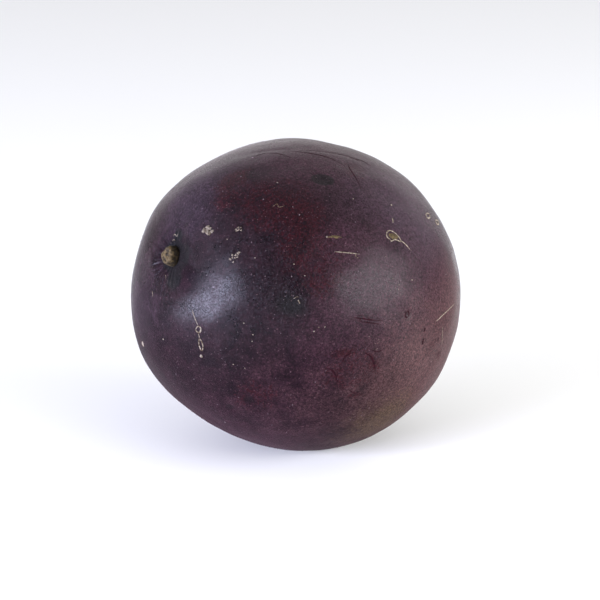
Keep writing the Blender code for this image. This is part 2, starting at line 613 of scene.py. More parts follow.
# The rind: a thin leather, almost black where it is ripest, under a breath of natural wax. The wax
# gives it broad soft highlights, and where it has rubbed off the rind is rougher and hardly shines.
@dataclass(frozen=True)
class RindFinish:
    """Ripe purple rind under a little natural wax: a soft gloss over dark, mottled colour."""

    purple: str = "1a0e13"
    deep: str = "0b0509"
    patches: tuple[Patch, ...] = RIND_PATCHES
    fleck: str = "5a464a"
    fleck_spacing_mm: float = 0.48
    fleck_share: float = 0.38
    mottle_mm: float = 3.2
    streak_mm: float = 0.8
    grain_mm: float = 0.32
    wrinkle_mm: float = 0.30
    roughness_low: float = 0.16
    roughness_high: float = 0.24
    roughness_dull: float = 0.6
    ior: float = 1.072
    wax_weight: float = 0.168
    wax_roughness: float = 0.21
    gloss: float = 1.0
    gloss_tint: str = "e0e0ff"
    sheen_weight: float = 0.04
    sheen_roughness: float = 0.5
    sheen_tint: str = "ffc2d8"
    wrinkle_height_mm: float = 0.010
    grain_height_mm: float = 0.015
    streak_height_mm: float = 0.017
    noise_roughness: float = 0.6
    bare_until: float = 0.12
    fleck_edge: tuple[float, float] = (0.30, 0.10)
    fleck_zone: tuple[float, float] = (0.40, 0.66)
    ridge_edge: float = 0.055
    depth_zone: tuple[float, float] = (0.30, 0.70)
    grain_zone: tuple[float, float] = (0.38, 0.70)
    grain_shade: tuple[float, float] = (0.50, 2.0)
    gloss_zone: tuple[float, float] = (0.35, 0.65)

    def noise(
        self, tree: bpy.types.NodeTree, size_mm: float, detail: float, distortion: float,
    ) -> bpy.types.NodeSocket:
        """Noise on Object coordinates whose lumps have a real size.

        Args:
            tree: the material's node tree.
            size_mm: the size of a lump.
            detail: how many finer layers are added.
            distortion: how far the lumps are drawn out.

        Returns:
            The socket with the noise, about 0.5 on average.
        """
        place = add_node(tree, "ShaderNodeTexCoord").outputs["Object"]
        return add_node(
            tree, "ShaderNodeTexNoise",
            {
                "Vector": place, "Scale": PER_MM / size_mm, "Detail": detail,
                "Roughness": self.noise_roughness, "Distortion": distortion,
            },
        ).outputs["Fac"]

    def patched(
        self, tree: bpy.types.NodeTree, shade: bpy.types.NodeSocket,
        mottle: bpy.types.NodeSocket, streak: bpy.types.NodeSocket,
    ) -> bpy.types.NodeSocket:
        """Lays each tint over the shade, where its cover plus weighted mottle and streaks passes a range.

        Args:
            tree: the material's node tree.
            shade: the colour so far.
            mottle: the coarse noise.
            streak: the fine noise.

        Returns:
            The socket with the tinted colour.
        """
        for patch in self.patches:
            cover = add_node(
                tree, "ShaderNodeAttribute", attribute_name=patch.tint.value, attribute_type="GEOMETRY",
            )
            coarse = add_node(
                tree, "ShaderNodeMath", {0: mottle, 1: patch.by_mottle, 2: cover.outputs["Fac"]},
                operation="MULTIPLY_ADD",
            )
            broken = add_node(
                tree, "ShaderNodeMath", {0: streak, 1: patch.by_streak, 2: coarse.outputs["Value"]},
                operation="MULTIPLY_ADD",
            )
            middle = (patch.by_mottle + patch.by_streak) / 2.0
            share = add_node(
                tree, "ShaderNodeMapRange",
                {
                    "Value": broken.outputs["Value"], "From Min": middle + patch.start,
                    "From Max": middle + patch.end, "To Max": patch.opacity,
                },
                interpolation_type="SMOOTHSTEP",
            )
            # The noise alone would pass a range that starts at 0, so a bare place is held clear of the tint
            held = add_node(
                tree, "ShaderNodeMapRange", {"Value": cover.outputs["Fac"], "From Max": self.bare_until},
                interpolation_type="SMOOTHSTEP",
            )
            factor = add_node(
                tree, "ShaderNodeMath", {0: share.outputs["Result"], 1: held.outputs["Result"]},
                operation="MULTIPLY",
            )
            shade = add_node(
                tree, "ShaderNodeMix",
                {MIX_FACTOR: factor.outputs["Value"], MIX_A: shade, MIX_B: colour(patch.hex_code)},
                data_type="RGBA",
            ).outputs[MIX_RESULT]
        return shade

    def flecked(
        self, tree: bpy.types.NodeTree, shade: bpy.types.NodeSocket, where: bpy.types.NodeSocket,
    ) -> bpy.types.NodeSocket:
        """Puts a small soft fleck in each cell of a scatter, more of them where a noise is high.

        Args:
            tree: the material's node tree.
            shade: the colour so far.
            where: the noise that thins the flecks out.

        Returns:
            The socket with the flecked colour.
        """
        place = add_node(tree, "ShaderNodeTexCoord").outputs["Object"]
        rim, core = self.fleck_edge
        few, many = self.fleck_zone
        cells = add_node(
            tree, "ShaderNodeTexVoronoi",
            {"Vector": place, "Scale": PER_MM / self.fleck_spacing_mm, "Randomness": 1.0}, feature="F1",
        )
        dot = add_node(
            tree, "ShaderNodeMapRange",
            {
                "Value": cells.outputs["Distance"], "From Min": rim, "From Max": core,
                "To Max": self.fleck_share,
            },
            interpolation_type="SMOOTHSTEP",
        )
        here = add_node(
            tree, "ShaderNodeMapRange", {"Value": where, "From Min": few, "From Max": many},
            interpolation_type="SMOOTHSTEP",
        )
        factor = add_node(
            tree, "ShaderNodeMath", {0: dot.outputs["Result"], 1: here.outputs["Result"]},
            operation="MULTIPLY",
        )
        return add_node(
            tree, "ShaderNodeMix",
            {MIX_FACTOR: factor.outputs["Value"], MIX_A: shade, MIX_B: colour(self.fleck)}, data_type="RGBA",
        ).outputs[MIX_RESULT]

    def leathery(
        self, tree: bpy.types.NodeTree, streak: bpy.types.NodeSocket, grain: bpy.types.NodeSocket,
    ) -> bpy.types.NodeSocket:
        """Normals of a leathery skin: soft streaks, thin ridges where a noise passes a half, and fine grain.

        Args:
            tree: the material's node tree.
            streak: the fine noise.
            grain: the finest noise.

        Returns:
            The socket with the normals.
        """
        fold = self.noise(tree, self.wrinkle_mm, 2.0, 0.8)
        from_half = add_node(tree, "ShaderNodeMath", {0: fold, 1: 0.5}, operation="SUBTRACT")
        off = add_node(tree, "ShaderNodeMath", {0: from_half.outputs["Value"]}, operation="ABSOLUTE")
        ridge = add_node(
            tree, "ShaderNodeMapRange",
            {"Value": off.outputs["Value"], "From Min": self.ridge_edge, "From Max": 0.0},
            interpolation_type="SMOOTHSTEP",
        )
        normal = None
        layers = (
            (streak, self.streak_height_mm),
            (ridge.outputs["Result"], self.wrinkle_height_mm),
            (grain, self.grain_height_mm),
        )
        for height, rise_mm in layers:
            inputs = {"Height": height, "Strength": 1.0, "Distance": rise_mm * MM}
            if normal is not None:
                inputs["Normal"] = normal
            normal = add_node(tree, "ShaderNodeBump", inputs).outputs["Normal"]
        return normal

    def shaded(
        self, tree: bpy.types.NodeTree, mottle: bpy.types.NodeSocket,
        streak: bpy.types.NodeSocket, grain: bpy.types.NodeSocket,
    ) -> bpy.types.NodeSocket:
        """The rind's colour: deep to purple by the mottle, tinted, flecked, and shaded by the grain.

        Args:
            tree: the material's node tree.
            mottle: the coarse noise.
            streak: the fine noise.
            grain: the finest noise.

        Returns:
            The socket with the finished colour.
        """
        deep_at, purple_at = self.depth_zone
        share = add_node(
            tree, "ShaderNodeMapRange", {"Value": mottle, "From Min": deep_at, "From Max": purple_at},
            interpolation_type="SMOOTHSTEP",
        )
        shade = add_node(
            tree, "ShaderNodeMix",
            {MIX_FACTOR: share.outputs["Result"], MIX_A: colour(self.deep), MIX_B: colour(self.purple)},
            data_type="RGBA",
        ).outputs[MIX_RESULT]
        shade = self.patched(tree, shade, mottle, streak)
        shade = self.flecked(tree, shade, streak)
        dark_at, pale_at = self.grain_zone
        darkest, palest = self.grain_shade
        fine = add_node(
            tree, "ShaderNodeMapRange",
            {"Value": grain, "From Min": dark_at, "From Max": pale_at, "To Min": darkest, "To Max": palest},
        )
        return add_node(
            tree, "ShaderNodeVectorMath", {0: shade, "Scale": fine.outputs["Result"]}, operation="SCALE",
        ).outputs["Vector"]

    def waxed(
        self, tree: bpy.types.NodeTree, mottle: bpy.types.NodeSocket,
    ) -> tuple[bpy.types.NodeSocket, bpy.types.NodeSocket]:
        """Roughness of the rind and weight of its wax: rougher and bare as the tint for dull rises.

        Args:
            tree: the material's node tree.
            mottle: the coarse noise.

        Returns:
            The sockets with the roughness and with the wax.
        """
        smooth_at, rough_at = self.gloss_zone
        roughness = add_node(
            tree, "ShaderNodeMapRange",
            {
                "Value": mottle, "From Min": smooth_at, "From Max": rough_at,
                "To Min": self.roughness_low, "To Max": self.roughness_high,
            },
        )
        dull = add_node(
            tree, "ShaderNodeAttribute", attribute_name=Tint.DULL.value, attribute_type="GEOMETRY",
        ).outputs["Fac"]
        rubbed = add_node(
            tree, "ShaderNodeMapRange",
            {"Value": dull, "To Min": roughness.outputs["Result"], "To Max": self.roughness_dull},
        )
        wax = add_node(tree, "ShaderNodeMapRange", {"Value": dull, "To Min": self.wax_weight, "To Max": 0.0})
        return rubbed.outputs["Result"], wax.outputs["Result"]

    def build(self) -> bpy.types.Material:
        """Makes the rind's material.

        Returns:
            The material, which reads Object coordinates and the skin's tint attributes.
        """
        material, tree = new_material("ripe_passion_fruit_rind")
        mottle = self.noise(tree, self.mottle_mm, 5.0, 0.6)
        streak = self.noise(tree, self.streak_mm, 3.0, 2.4)
        grain = self.noise(tree, self.grain_mm, 2.5, 0.8)
        shade = self.shaded(tree, mottle, streak, grain)
        roughness, wax = self.waxed(tree, mottle)
        normal = self.leathery(tree, streak, grain)
        shader = add_node(
            tree, "ShaderNodeBsdfPrincipled",
            {
                "Base Color": shade, "Roughness": roughness, "IOR": self.ior,
                "Specular IOR Level": self.gloss, "Specular Tint": colour(self.gloss_tint),
                "Sheen Weight": self.sheen_weight, "Sheen Roughness": self.sheen_roughness,
                "Sheen Tint": colour(self.sheen_tint),
                "Coat Weight": wax, "Coat Roughness": self.wax_roughness,
                "Normal": normal, "Coat Normal": normal,
            },
        )
        close_material(tree, shader)
        return material


@dataclass(frozen=True)
class DryFinish:
    """Dry plant tissue such as cork or a stalk scar: matt, pale, mottled between two colours and rough."""

    name: str
    light: str
    dark: str
    grain_mm: float = 0.3
    roughness: float = 0.75
    bump_mm: float = 0.05
    ior: float = 1.45
    gloss: float = 0.3
    contrast: float = 0.5
    attribute: str = ""

    def build(self) -> bpy.types.Material:
        """Makes the material: noise mixes dark into light, and an attribute can lean the mix either way.

        Returns:
            The material.
        """
        material, tree = new_material(self.name)
        place = add_node(tree, "ShaderNodeTexCoord").outputs["Object"]
        grain = add_node(
            tree, "ShaderNodeTexNoise",
            {"Vector": place, "Scale": PER_MM / self.grain_mm, "Detail": 4.0, "Roughness": 0.6},
        )
        share = add_node(
            tree, "ShaderNodeMapRange", {"Value": grain.outputs["Fac"], "From Min": 0.35, "From Max": 0.65},
        ).outputs["Result"]
        if self.attribute:
            lean = add_node(
                tree, "ShaderNodeAttribute", attribute_name=self.attribute, attribute_type="GEOMETRY",
            )
            centred = add_node(tree, "ShaderNodeMath", {0: share, 1: 0.5}, operation="SUBTRACT")
            share = add_node(
                tree, "ShaderNodeMath",
                {0: centred.outputs["Value"], 1: self.contrast, 2: lean.outputs["Fac"]},
                operation="MULTIPLY_ADD", use_clamp=True,
            ).outputs["Value"]
        shade = add_node(
            tree, "ShaderNodeMix",
            {MIX_FACTOR: share, MIX_A: colour(self.dark), MIX_B: colour(self.light)}, data_type="RGBA",
        )
        bump = add_node(
            tree, "ShaderNodeBump",
            {"Height": grain.outputs["Fac"], "Strength": 0.6, "Distance": self.bump_mm * MM},
        )
        shader = add_node(
            tree, "ShaderNodeBsdfPrincipled",
            {
                "Base Color": shade.outputs[MIX_RESULT], "Roughness": self.roughness, "IOR": self.ior,
                "Specular IOR Level": self.gloss, "Normal": bump.outputs["Normal"],
            },
        )
        close_material(tree, shader)
        return material


# Healed scratches and scabs: cork, cream to tan, that stands a little proud of the rind.
HEALED_CORK = DryFinish("healed_cork", light="90867a", dark="392a16", contrast=1.0, attribute="pale")
# Thin scabs not long healed: a film of cork with the olive and yellow-brown of the tissue below it.
YELLOW_CORK = DryFinish("thin_yellow_cork", light="5c4c30", dark="2b2210", contrast=0.9, attribute="pale")
# The stem scar: corky wood, cream on its broken face and olive on its flank.
SCAR_WOOD = DryFinish(
    "stem_scar_wood", light="4d3f27", dark="1e1609", grain_mm=0.45, contrast=1.6, attribute="face",
)
# The blossom point: a brown dry tip.
BLOSSOM_DRY = DryFinish("blossom_point_dry", light="6b5a47", dark="33261e", attribute="face")
# Breathing spots: tiny cream to mauve specks of cork.
SPECK_CORK = DryFinish("breathing_spot_cork", light="74666c", dark="34252e", attribute="pale")
# Dried creases: the rind's own colour, darker and redder, and matt, with the shade of each groove painted
# into it, since the strands lie almost flat on the skin.
CREASE_RIND_AND_SHADE = DryFinish("dried_crease_rind_and_shade", light="280b14", dark="14070d", roughness=0.7, gloss=0.05)


# ---------------------------------------------------------------- the skin


def polar_faces(rings: int, around: int) -> list[list[int]]:
    """Faces of a closed polar grid: a fan at each pole and quads between the rings.

    Vertex 0 is the first pole, then come the rings one after another, and last the other pole.

    Args:
        rings: how many rings lie between the poles.
        around: points in a ring.

    Returns:
        Triangles and quads as lists of vertex numbers.
    """
    here = np.arange(around)
    ahead = (here + 1) % around
    starts = 1 + np.arange(rings - 1)[:, None] * around
    corners = [starts + here, starts + around + here, starts + around + ahead, starts + ahead]
    quads = np.stack(corners, axis=-1)
    first = np.stack([np.zeros(around, int), 1 + here, 1 + ahead], axis=-1)
    last_ring = 1 + (rings - 1) * around
    last = np.stack([np.full(around, last_ring + around), last_ring + ahead, last_ring + here], axis=-1)
    return first.tolist() + quads.reshape(-1, 4).tolist() + last.tolist()


@dataclass
class Rind:
    """The fruit's skin: one closed surface that replaces the plain solid."""

    form: FruitForm
    finish: RindFinish
    around: int = 448
    rings: int = 216
    close_mm: float = 0.16
    wide_mm: float = 0.44
    widening_mm: tuple[float, float] = (2.0, 10.0)
    fine_steps: int = 4001
    stains: tuple[Stain, ...] = field(default_factory=lambda: RIND_STAINS)

    def ring_angles(self) -> np.ndarray:
        """Angles from the scar, spaced by a step that grows from close to wide over the funnel.

        Returns:
            The angles in radians, with both poles.
        """
        fine = np.linspace(0.0, math.pi, self.fine_steps)
        arc = fine * self.form.length_mm / 2.0
        step = self.close_mm + (self.wide_mm - self.close_mm) * s_curve(arc, *self.widening_mm)
        passed = np.concatenate([[0.0], np.cumsum(1.0 / step[1:])])
        return np.interp(np.linspace(0.0, passed[-1], self.rings + 2), passed, fine)

    def build(self) -> bpy.types.Object:
        """Makes the skin's mesh with its tint attributes.

        Returns:
            The skin.
        """
        angles = self.ring_angles()
        turns = np.linspace(0.0, math.tau, self.around, endpoint=False)
        away, round_ = np.meshgrid(angles[1:-1], turns, indexing="ij")
        away = np.concatenate([[0.0], away.ravel(), [math.pi]])
        round_ = np.concatenate([[0.0], round_.ravel(), [0.0]])
        piece = new_piece("skin", self.form.skin(away, round_), polar_faces(self.rings, self.around))
        towards = directions_at(away, round_)
        for tint in Tint:
            bare = np.ones(len(away))
            for stain in self.stains:
                if stain.tint is tint:
                    bare *= 1.0 - stain.cover(towards, self.form.mean_radius_mm)
            put_attribute(piece, tint.value, 1.0 - bare)
        return piece

    def dress(self, piece: bpy.types.Object) -> None:
        """Gives the skin its material and its place in the frame.

        Args:
            piece: what build made.
        """
        piece.data.materials.append(self.finish.build())
        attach(piece, ROOT)
        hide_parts(FRUIT_NODE)


RIND_STAINS = (
    # Red flush: blots near the stem, a wide broken band over the middle, and patches lower down
    Stain(Tint.FLUSH, Spot(32.9, -11.0), 1.6, 2.8, strength=1.3, softness=0.45),
    Stain(Tint.FLUSH, Spot(26.9, -23.2), 1.8, 1.9, softness=0.5),
    Stain(Tint.FLUSH, Spot(37.4, -35.2), 3.4, 3.0, strength=0.8, softness=0.8),
    Stain(Tint.FLUSH, Spot(44.2, -41.2), 3.6, 4.0, softness=0.8),
    Stain(Tint.FLUSH, Spot(49.9, -50.8), 3.0, 2.8, softness=0.8),
    Stain(Tint.FLUSH, Spot(46.7, -62.0), 2.8, 2.0, strength=0.8, softness=0.8),
    Stain(Tint.FLUSH, Spot(52.7, -68.8), 3.4, 3.4, strength=0.6, softness=0.8),
    Stain(Tint.FLUSH, Spot(59.2, -71.5), 2.0, 2.6, strength=0.6, softness=0.7),
    Stain(Tint.FLUSH, Spot(57.2, -77.2), 1.8, 2.2, strength=0.75, softness=0.7),
    Stain(Tint.FLUSH, Spot(75.5, -23.0), 1.8, 1.5, 30.0, strength=0.7, softness=0.8),
    Stain(Tint.FLUSH, Spot(77.1, -100.2), 2.6, 2.2, strength=0.45, softness=0.8),
    Stain(Tint.FLUSH, Spot(85.1, -103.0), 2.6, 2.4, strength=0.4, softness=0.8),
    Stain(Tint.FLUSH, Spot(76.4, -108.0), 2.2, 2.2, strength=0.4, softness=0.8),
    Stain(Tint.FLUSH, Spot(57.4, -135.0), 2.6, 2.2, strength=0.7, softness=0.8),
    Stain(Tint.FLUSH, Spot(121.6, -84.0), 3.0, 2.6, strength=0.5, softness=0.9),
    # Narrow red marks on the lower half
    Stain(Tint.FLUSH, Spot(77.8, -110.7), 0.6, 1.7, 32.0, strength=1.3),
    Stain(Tint.FLUSH, Spot(72.4, -100.2), 0.7, 2.0, -29.0, strength=1.3),
    Stain(Tint.FLUSH, Spot(86.4, -99.5), 0.7, 2.1, 35.0, strength=1.3),
    Stain(Tint.FLUSH, Spot(87.8, -114.2), 0.40, 1.3, -24.0, strength=0.9),
    Stain(Tint.FLUSH, Spot(127.0, -91.7), 0.6, 1.7, 27.0, strength=1.2),
    Stain(Tint.FLUSH, Spot(76.8, -84.8), 0.40, 2.6, -15.0, strength=0.6),
    # Red flush on the rest of the fruit
    Stain(Tint.FLUSH, Spot(60.0, 60.0), 4.5, 5.0, softness=0.8),
    Stain(Tint.FLUSH, Spot(52.0, 76.0), 3.0, 3.4, softness=0.8),
    Stain(Tint.FLUSH, Spot(84.0, 110.0), 3.5, 5.5, 30.0, strength=0.8, softness=0.8),
    Stain(Tint.FLUSH, Spot(110.0, 40.0), 4.0, 3.0, strength=0.8, softness=0.8),
    Stain(Tint.FLUSH, Spot(100.0, 52.0), 2.4, 3.4, strength=0.8, softness=0.8),
    Stain(Tint.FLUSH, Spot(66.0, 170.0), 4.0, 4.0, strength=0.8, softness=0.8),
    # Redder plum: broad and soft, over both halves
    Stain(Tint.PLUM, Spot(74.0, -80.0), 13.0, 10.0, strength=0.6, softness=0.5),
    Stain(Tint.PLUM, Spot(66.0, -60.0), 6.0, 6.0, strength=0.5, softness=0.7),
    Stain(Tint.PLUM, Spot(96.0, -64.0), 16.0, 9.0, strength=0.75, softness=0.6),
    Stain(Tint.PLUM, Spot(92.0, -32.0), 9.0, 9.0, strength=0.9, softness=0.7),
    Stain(Tint.PLUM, Spot(62.0, -10.0), 10.0, 9.0, strength=0.9, softness=0.8),
    Stain(Tint.PLUM, Spot(72.0, -152.0), 17.0, 10.0, strength=0.4, softness=0.8),
    Stain(Tint.PLUM, Spot(66.0, -112.0), 9.0, 8.0, strength=0.2, softness=0.9),
    Stain(Tint.PLUM, Spot(116.0, -62.0), 9.0, 9.0, strength=0.5, softness=0.8),
    Stain(Tint.PLUM, Spot(90.0, 110.0), 22.0, 14.0, strength=0.7, softness=0.8),
    # Where the wax has rubbed off: round the stem scar, on the middle, the underside and the far side
    Stain(Tint.DULL, Spot(70.0, -142.0), 22.0, 11.0, strength=0.9, softness=0.5),
    Stain(Tint.DULL, Spot(40.0, 178.0), 12.0, 10.0, strength=0.8, softness=0.7),
    Stain(Tint.DULL, Spot(82.0, -168.0), 18.0, 13.0, softness=0.6),
    Stain(Tint.DULL, Spot(10.0, -114.0), 2.2, 3.0, -10.0, strength=0.9, softness=0.6),
    Stain(Tint.DULL, Spot(0.5, 0.0), 3.6, 3.6, softness=0.4),
    Stain(Tint.DULL, Spot(114.0, -68.0), 9.0, 6.0, strength=0.8, softness=0.6),
    Stain(Tint.DULL, Spot(106.0, -120.0), 11.0, 11.0, strength=0.8, softness=0.6),
    Stain(Tint.DULL, Spot(75.0, -8.0), 8.0, 12.0, strength=0.4, softness=0.9),
    Stain(Tint.DULL, Spot(108.0, -146.0), 15.0, 12.0, softness=0.6),
    Stain(Tint.DULL, Spot(83.0, -54.5), 3.0, 3.0, strength=0.5, softness=0.8),
    Stain(Tint.DULL, Spot(132.0, -102.0), 12.0, 8.0, strength=0.6, softness=0.7),
    # Pinkish brown towards the blossom end
    Stain(Tint.ROSE, Spot(110.0, -99.0), 11.0, 9.0, strength=0.5, softness=0.9),
    Stain(Tint.ROSE, Spot(94.0, -105.0), 12.0, 9.0, strength=0.35, softness=0.9),
    Stain(Tint.ROSE, Spot(66.0, -132.0), 9.0, 8.0, strength=0.15, softness=0.9),
    Stain(Tint.ROSE, Spot(135.0, -97.0), 15.0, 11.0, strength=0.95, softness=0.9),
    Stain(Tint.ROSE, Spot(131.0, -58.0), 8.0, 8.0, strength=0.3, softness=0.9),
    Stain(Tint.ROSE, Spot(146.0, 60.0), 16.0, 12.0, strength=0.8, softness=0.9),
    # Greenish brown underneath, where the sun didn't reach
    Stain(Tint.OCHRE, Spot(112.0, -128.5), 6.5, 6.0, strength=0.85, softness=0.9),
    Stain(Tint.OCHRE, Spot(122.0, 150.0), 9.0, 8.0, strength=0.8, softness=0.9),
    # Dark green-grey round the stem scar, partly the rind's own colour and partly painted shade in the
    # funnel, and a few small dark blots, some of which paint the shade in small dents and by short creases
    Stain(Tint.MOSS_AND_SHADE, Spot(0.5, 0.0), 2.6, 2.6, strength=1.0, softness=0.4),
    Stain(Tint.MOSS_AND_SHADE, Spot(6.0, -70.0), 1.9, 1.7, strength=1.0, softness=0.6),
    Stain(Tint.MOSS_AND_SHADE, Spot(8.0, -140.0), 1.8, 1.7, strength=0.9, softness=0.6),
    Stain(Tint.MOSS_AND_SHADE, Spot(7.6, 4.0), 1.1, 0.9, strength=0.9, softness=0.6),
    # A dark blot on the shallow dent here, painting that hollow's shade
    Stain(Tint.MOSS_AND_SHADE, Spot(49.2, -89.0), 2.2, 3.2, strength=0.7, softness=0.8),
    Stain(Tint.MOSS_AND_SHADE, Spot(60.1, -29.0), 1.3, 1.9, 15.0, softness=0.3),
    Stain(Tint.DUSK_AND_SHADE, Spot(60.1, -29.0), 1.2, 1.8, 15.0, strength=0.6, softness=0.25),
    # Painted shade in the small dents and by the short creases on the lower half
    Stain(Tint.DUSK_AND_SHADE, Spot(57.2, -138.5), 1.1, 0.9, strength=0.8),
    Stain(Tint.DUSK_AND_SHADE, Spot(56.4, -149.8), 0.9, 0.7, strength=0.8),
    Stain(Tint.DUSK_AND_SHADE, Spot(94.9, -79.2), 0.55, 0.6, strength=0.5),
    Stain(Tint.DUSK_AND_SHADE, Spot(106.6, -83.4), 0.4, 0.55, strength=0.5),
    Stain(Tint.DUSK_AND_SHADE, Spot(109.5, -87.4), 0.45, 0.8, 20.0, strength=0.5),
    Stain(Tint.DUSK_AND_SHADE, Spot(84.0, -56.0), 2.4, 2.4, strength=0.5, softness=0.8),
    Stain(Tint.DUSK_AND_SHADE, Spot(70.0, -95.0), 3.0, 4.0, strength=0.35, softness=0.9),
    Stain(Tint.DUSK_AND_SHADE, Spot(41.0, -86.0), 4.6, 5.4, strength=0.5, softness=0.9),
    Stain(Tint.MOSS_AND_SHADE, Spot(82.0, 70.0), 1.4, 1.0, softness=0.3),
    # Pale bluish wax, partly the rind's own and partly a painted sheen of the light from above, on the upper
    # side and on the left
    Stain(Tint.BLOOM, Spot(22.0, 150.0), 6.0, 6.0, strength=0.3, softness=0.9),
    Stain(Tint.BLOOM, Spot(20.0, 8.0), 6.0, 7.0, strength=0.5, softness=0.9),
    Stain(Tint.BLOOM, Spot(92.0, -36.0), 9.0, 11.0, strength=0.6, softness=0.9),
    Stain(Tint.BLOOM, Spot(95.0, 80.0), 10.0, 9.0, strength=0.5, softness=0.9),
)


# ---------------------------------------------------------------- marks on the skin


@dataclass(frozen=True)
class Stroke:
    """A thin raised line on the skin, given in millimetres round and away from an anchor place."""

    anchor: Spot
    points_mm: tuple[tuple[float, float], ...]
    half_width_mm: float = 0.13
    height_mm: float = 0.06
    looped: bool = False
    tone: float = 0.7
    sections: int = 8
    step_mm: float = 0.12
    unevenness: float = 0.3
    least_steps: int = 7
    bluntness: float = 0.45

    def angles(self, form: FruitForm, offsets: np.ndarray) -> tuple[np.ndarray, np.ndarray]:
        """Turns offsets from the anchor into angles: length over radius, and over the anchor's circle.

        Args:
            form: the fruit's form.
            offsets: rows of millimetres round and away.

        Returns:
            Angles away from the scar and round the stem line, in radians.
        """
        radius = form.mean_radius_mm
        start = math.radians(self.anchor.away)
        away = start + offsets[:, 1] / radius
        round_ = math.radians(self.anchor.round) + offsets[:, 0] / (radius * math.sin(start))
        return away, round_

    def mesh(self, form: FruitForm, seed: int) -> tuple[np.ndarray, list[list[int]]]:
        """A lens-shaped section carried along the line, half sunk in the skin and narrowed at its ends.

        Args:
            form: the fruit's form.
            seed: what the line's unevenness is drawn from.

        Returns:
            Points in millimetres and faces.
        """
        given = np.array(self.points_mm, dtype=float)
        length = np.linalg.norm(np.diff(given, axis=0), axis=1).sum()
        count = max(int(length / self.step_mm), self.least_steps)
        if self.looped:
            course = looped_route(given, count)
            slope = np.roll(course, -1, axis=0) - np.roll(course, 1, axis=0)
        else:
            course = smooth_route(given, count)
            slope = np.gradient(course, axis=0)
        across = np.stack([-slope[:, 1], slope[:, 0]], axis=1)
        across /= np.maximum(np.linalg.norm(across, axis=1, keepdims=True), 1e-9)
        draw = np.random.default_rng(seed)
        rough = 1.0 + self.unevenness * smooth_noise(draw, count)
        share = np.clip(np.linspace(0.0, 1.0, count), 0.02, 0.98)
        taper = np.ones(count) if self.looped else np.sin(math.pi * share) ** self.bluntness
        turn = np.arange(self.sections) * math.tau / self.sections
        wide = (self.half_width_mm * rough * taper)[:, None] * np.cos(turn)
        high = (self.height_mm * rough * taper)[:, None] * np.sin(turn)
        spread = course[:, None, :] + across[:, None, :] * wide[..., None]
        away, round_ = self.angles(form, spread.reshape(-1, 2))
        points = form.skin(away, round_, high.ravel())
        if self.looped:
            return points, ring_faces(count, self.sections)
        ends_away, ends_round = self.angles(form, course[[0, -1]])
        ends = form.skin(ends_away, ends_round, 0.0)
        points = np.vstack([ends[:1], points, ends[1:]])
        return points, polar_faces(count, self.sections)


def smooth_noise(draw: np.random.Generator, count: int) -> np.ndarray:
    """Values of about -1 to 1 along a line: random numbers, each the mean of itself and its neighbours."""
    raw = draw.uniform(-1.0, 1.0, count + 4)
    return np.convolve(raw, np.ones(3) / 3.0 * 1.6, mode="same")[2:-2]


def looped_route(points: np.ndarray, count: int) -> np.ndarray:
    """A closed smooth curve through points, whose first and last are neighbours and not the same.

    The curve runs on over two points at each end, and the extra stretches are cut off.

    Args:
        points: M rows, at least 3.
        count: how many rows to return.

    Returns:
        count rows of the same width.
    """
    wrapped = np.vstack([points[-2:], points, points[:2]])
    fine = smooth_route(wrapped, LOOP_FINENESS * (len(wrapped) - 1) + 1)
    first = 2 * LOOP_FINENESS
    once = fine[first:first + LOOP_FINENESS * len(points)]
    return once[np.linspace(0, len(once), count, endpoint=False).astype(int)]


def ring_faces(count: int, sections: int) -> list[list[int]]:
    """Quads of a tube that closes on itself.

    Args:
        count: rings along the tube.
        sections: points in a ring.

    Returns:
        Quads as lists of vertex numbers.
    """
    here = np.arange(count)[:, None] * sections
    ahead = ((np.arange(count) + 1) % count)[:, None] * sections
    side = np.arange(sections)
    next_side = (side + 1) % sections
    quads = np.stack([here + side, ahead + side, ahead + next_side, here + next_side], axis=-1)
    return quads.reshape(-1, 4).tolist()


def joined(parts: list[tuple[np.ndarray, list[list[int]]]]) -> tuple[np.ndarray, list[list[int]]]:
    """Puts several meshes in one: the points stacked, and each part's face numbers moved along.

    Args:
        parts: the points and the faces of each mesh.

    Returns:
        The points and the faces of all.
    """
    points, faces, start = [], [], 0
    for part_points, part_faces in parts:
        points.append(part_points)
        faces.extend([[number + start for number in face] for face in part_faces])
        start += len(part_points)
    return np.vstack(points), faces


def turned_outwards(piece: bpy.types.Object) -> None:
    """Makes every face of a piece point outwards.

    Args:
        piece: a piece whose parts are all closed.
    """
    mesh = bmesh.new()
    mesh.from_mesh(piece.data)
    bmesh.ops.recalc_face_normals(mesh, faces=mesh.faces)
    mesh.to_mesh(piece.data)
    mesh.free()
    piece.data.update()


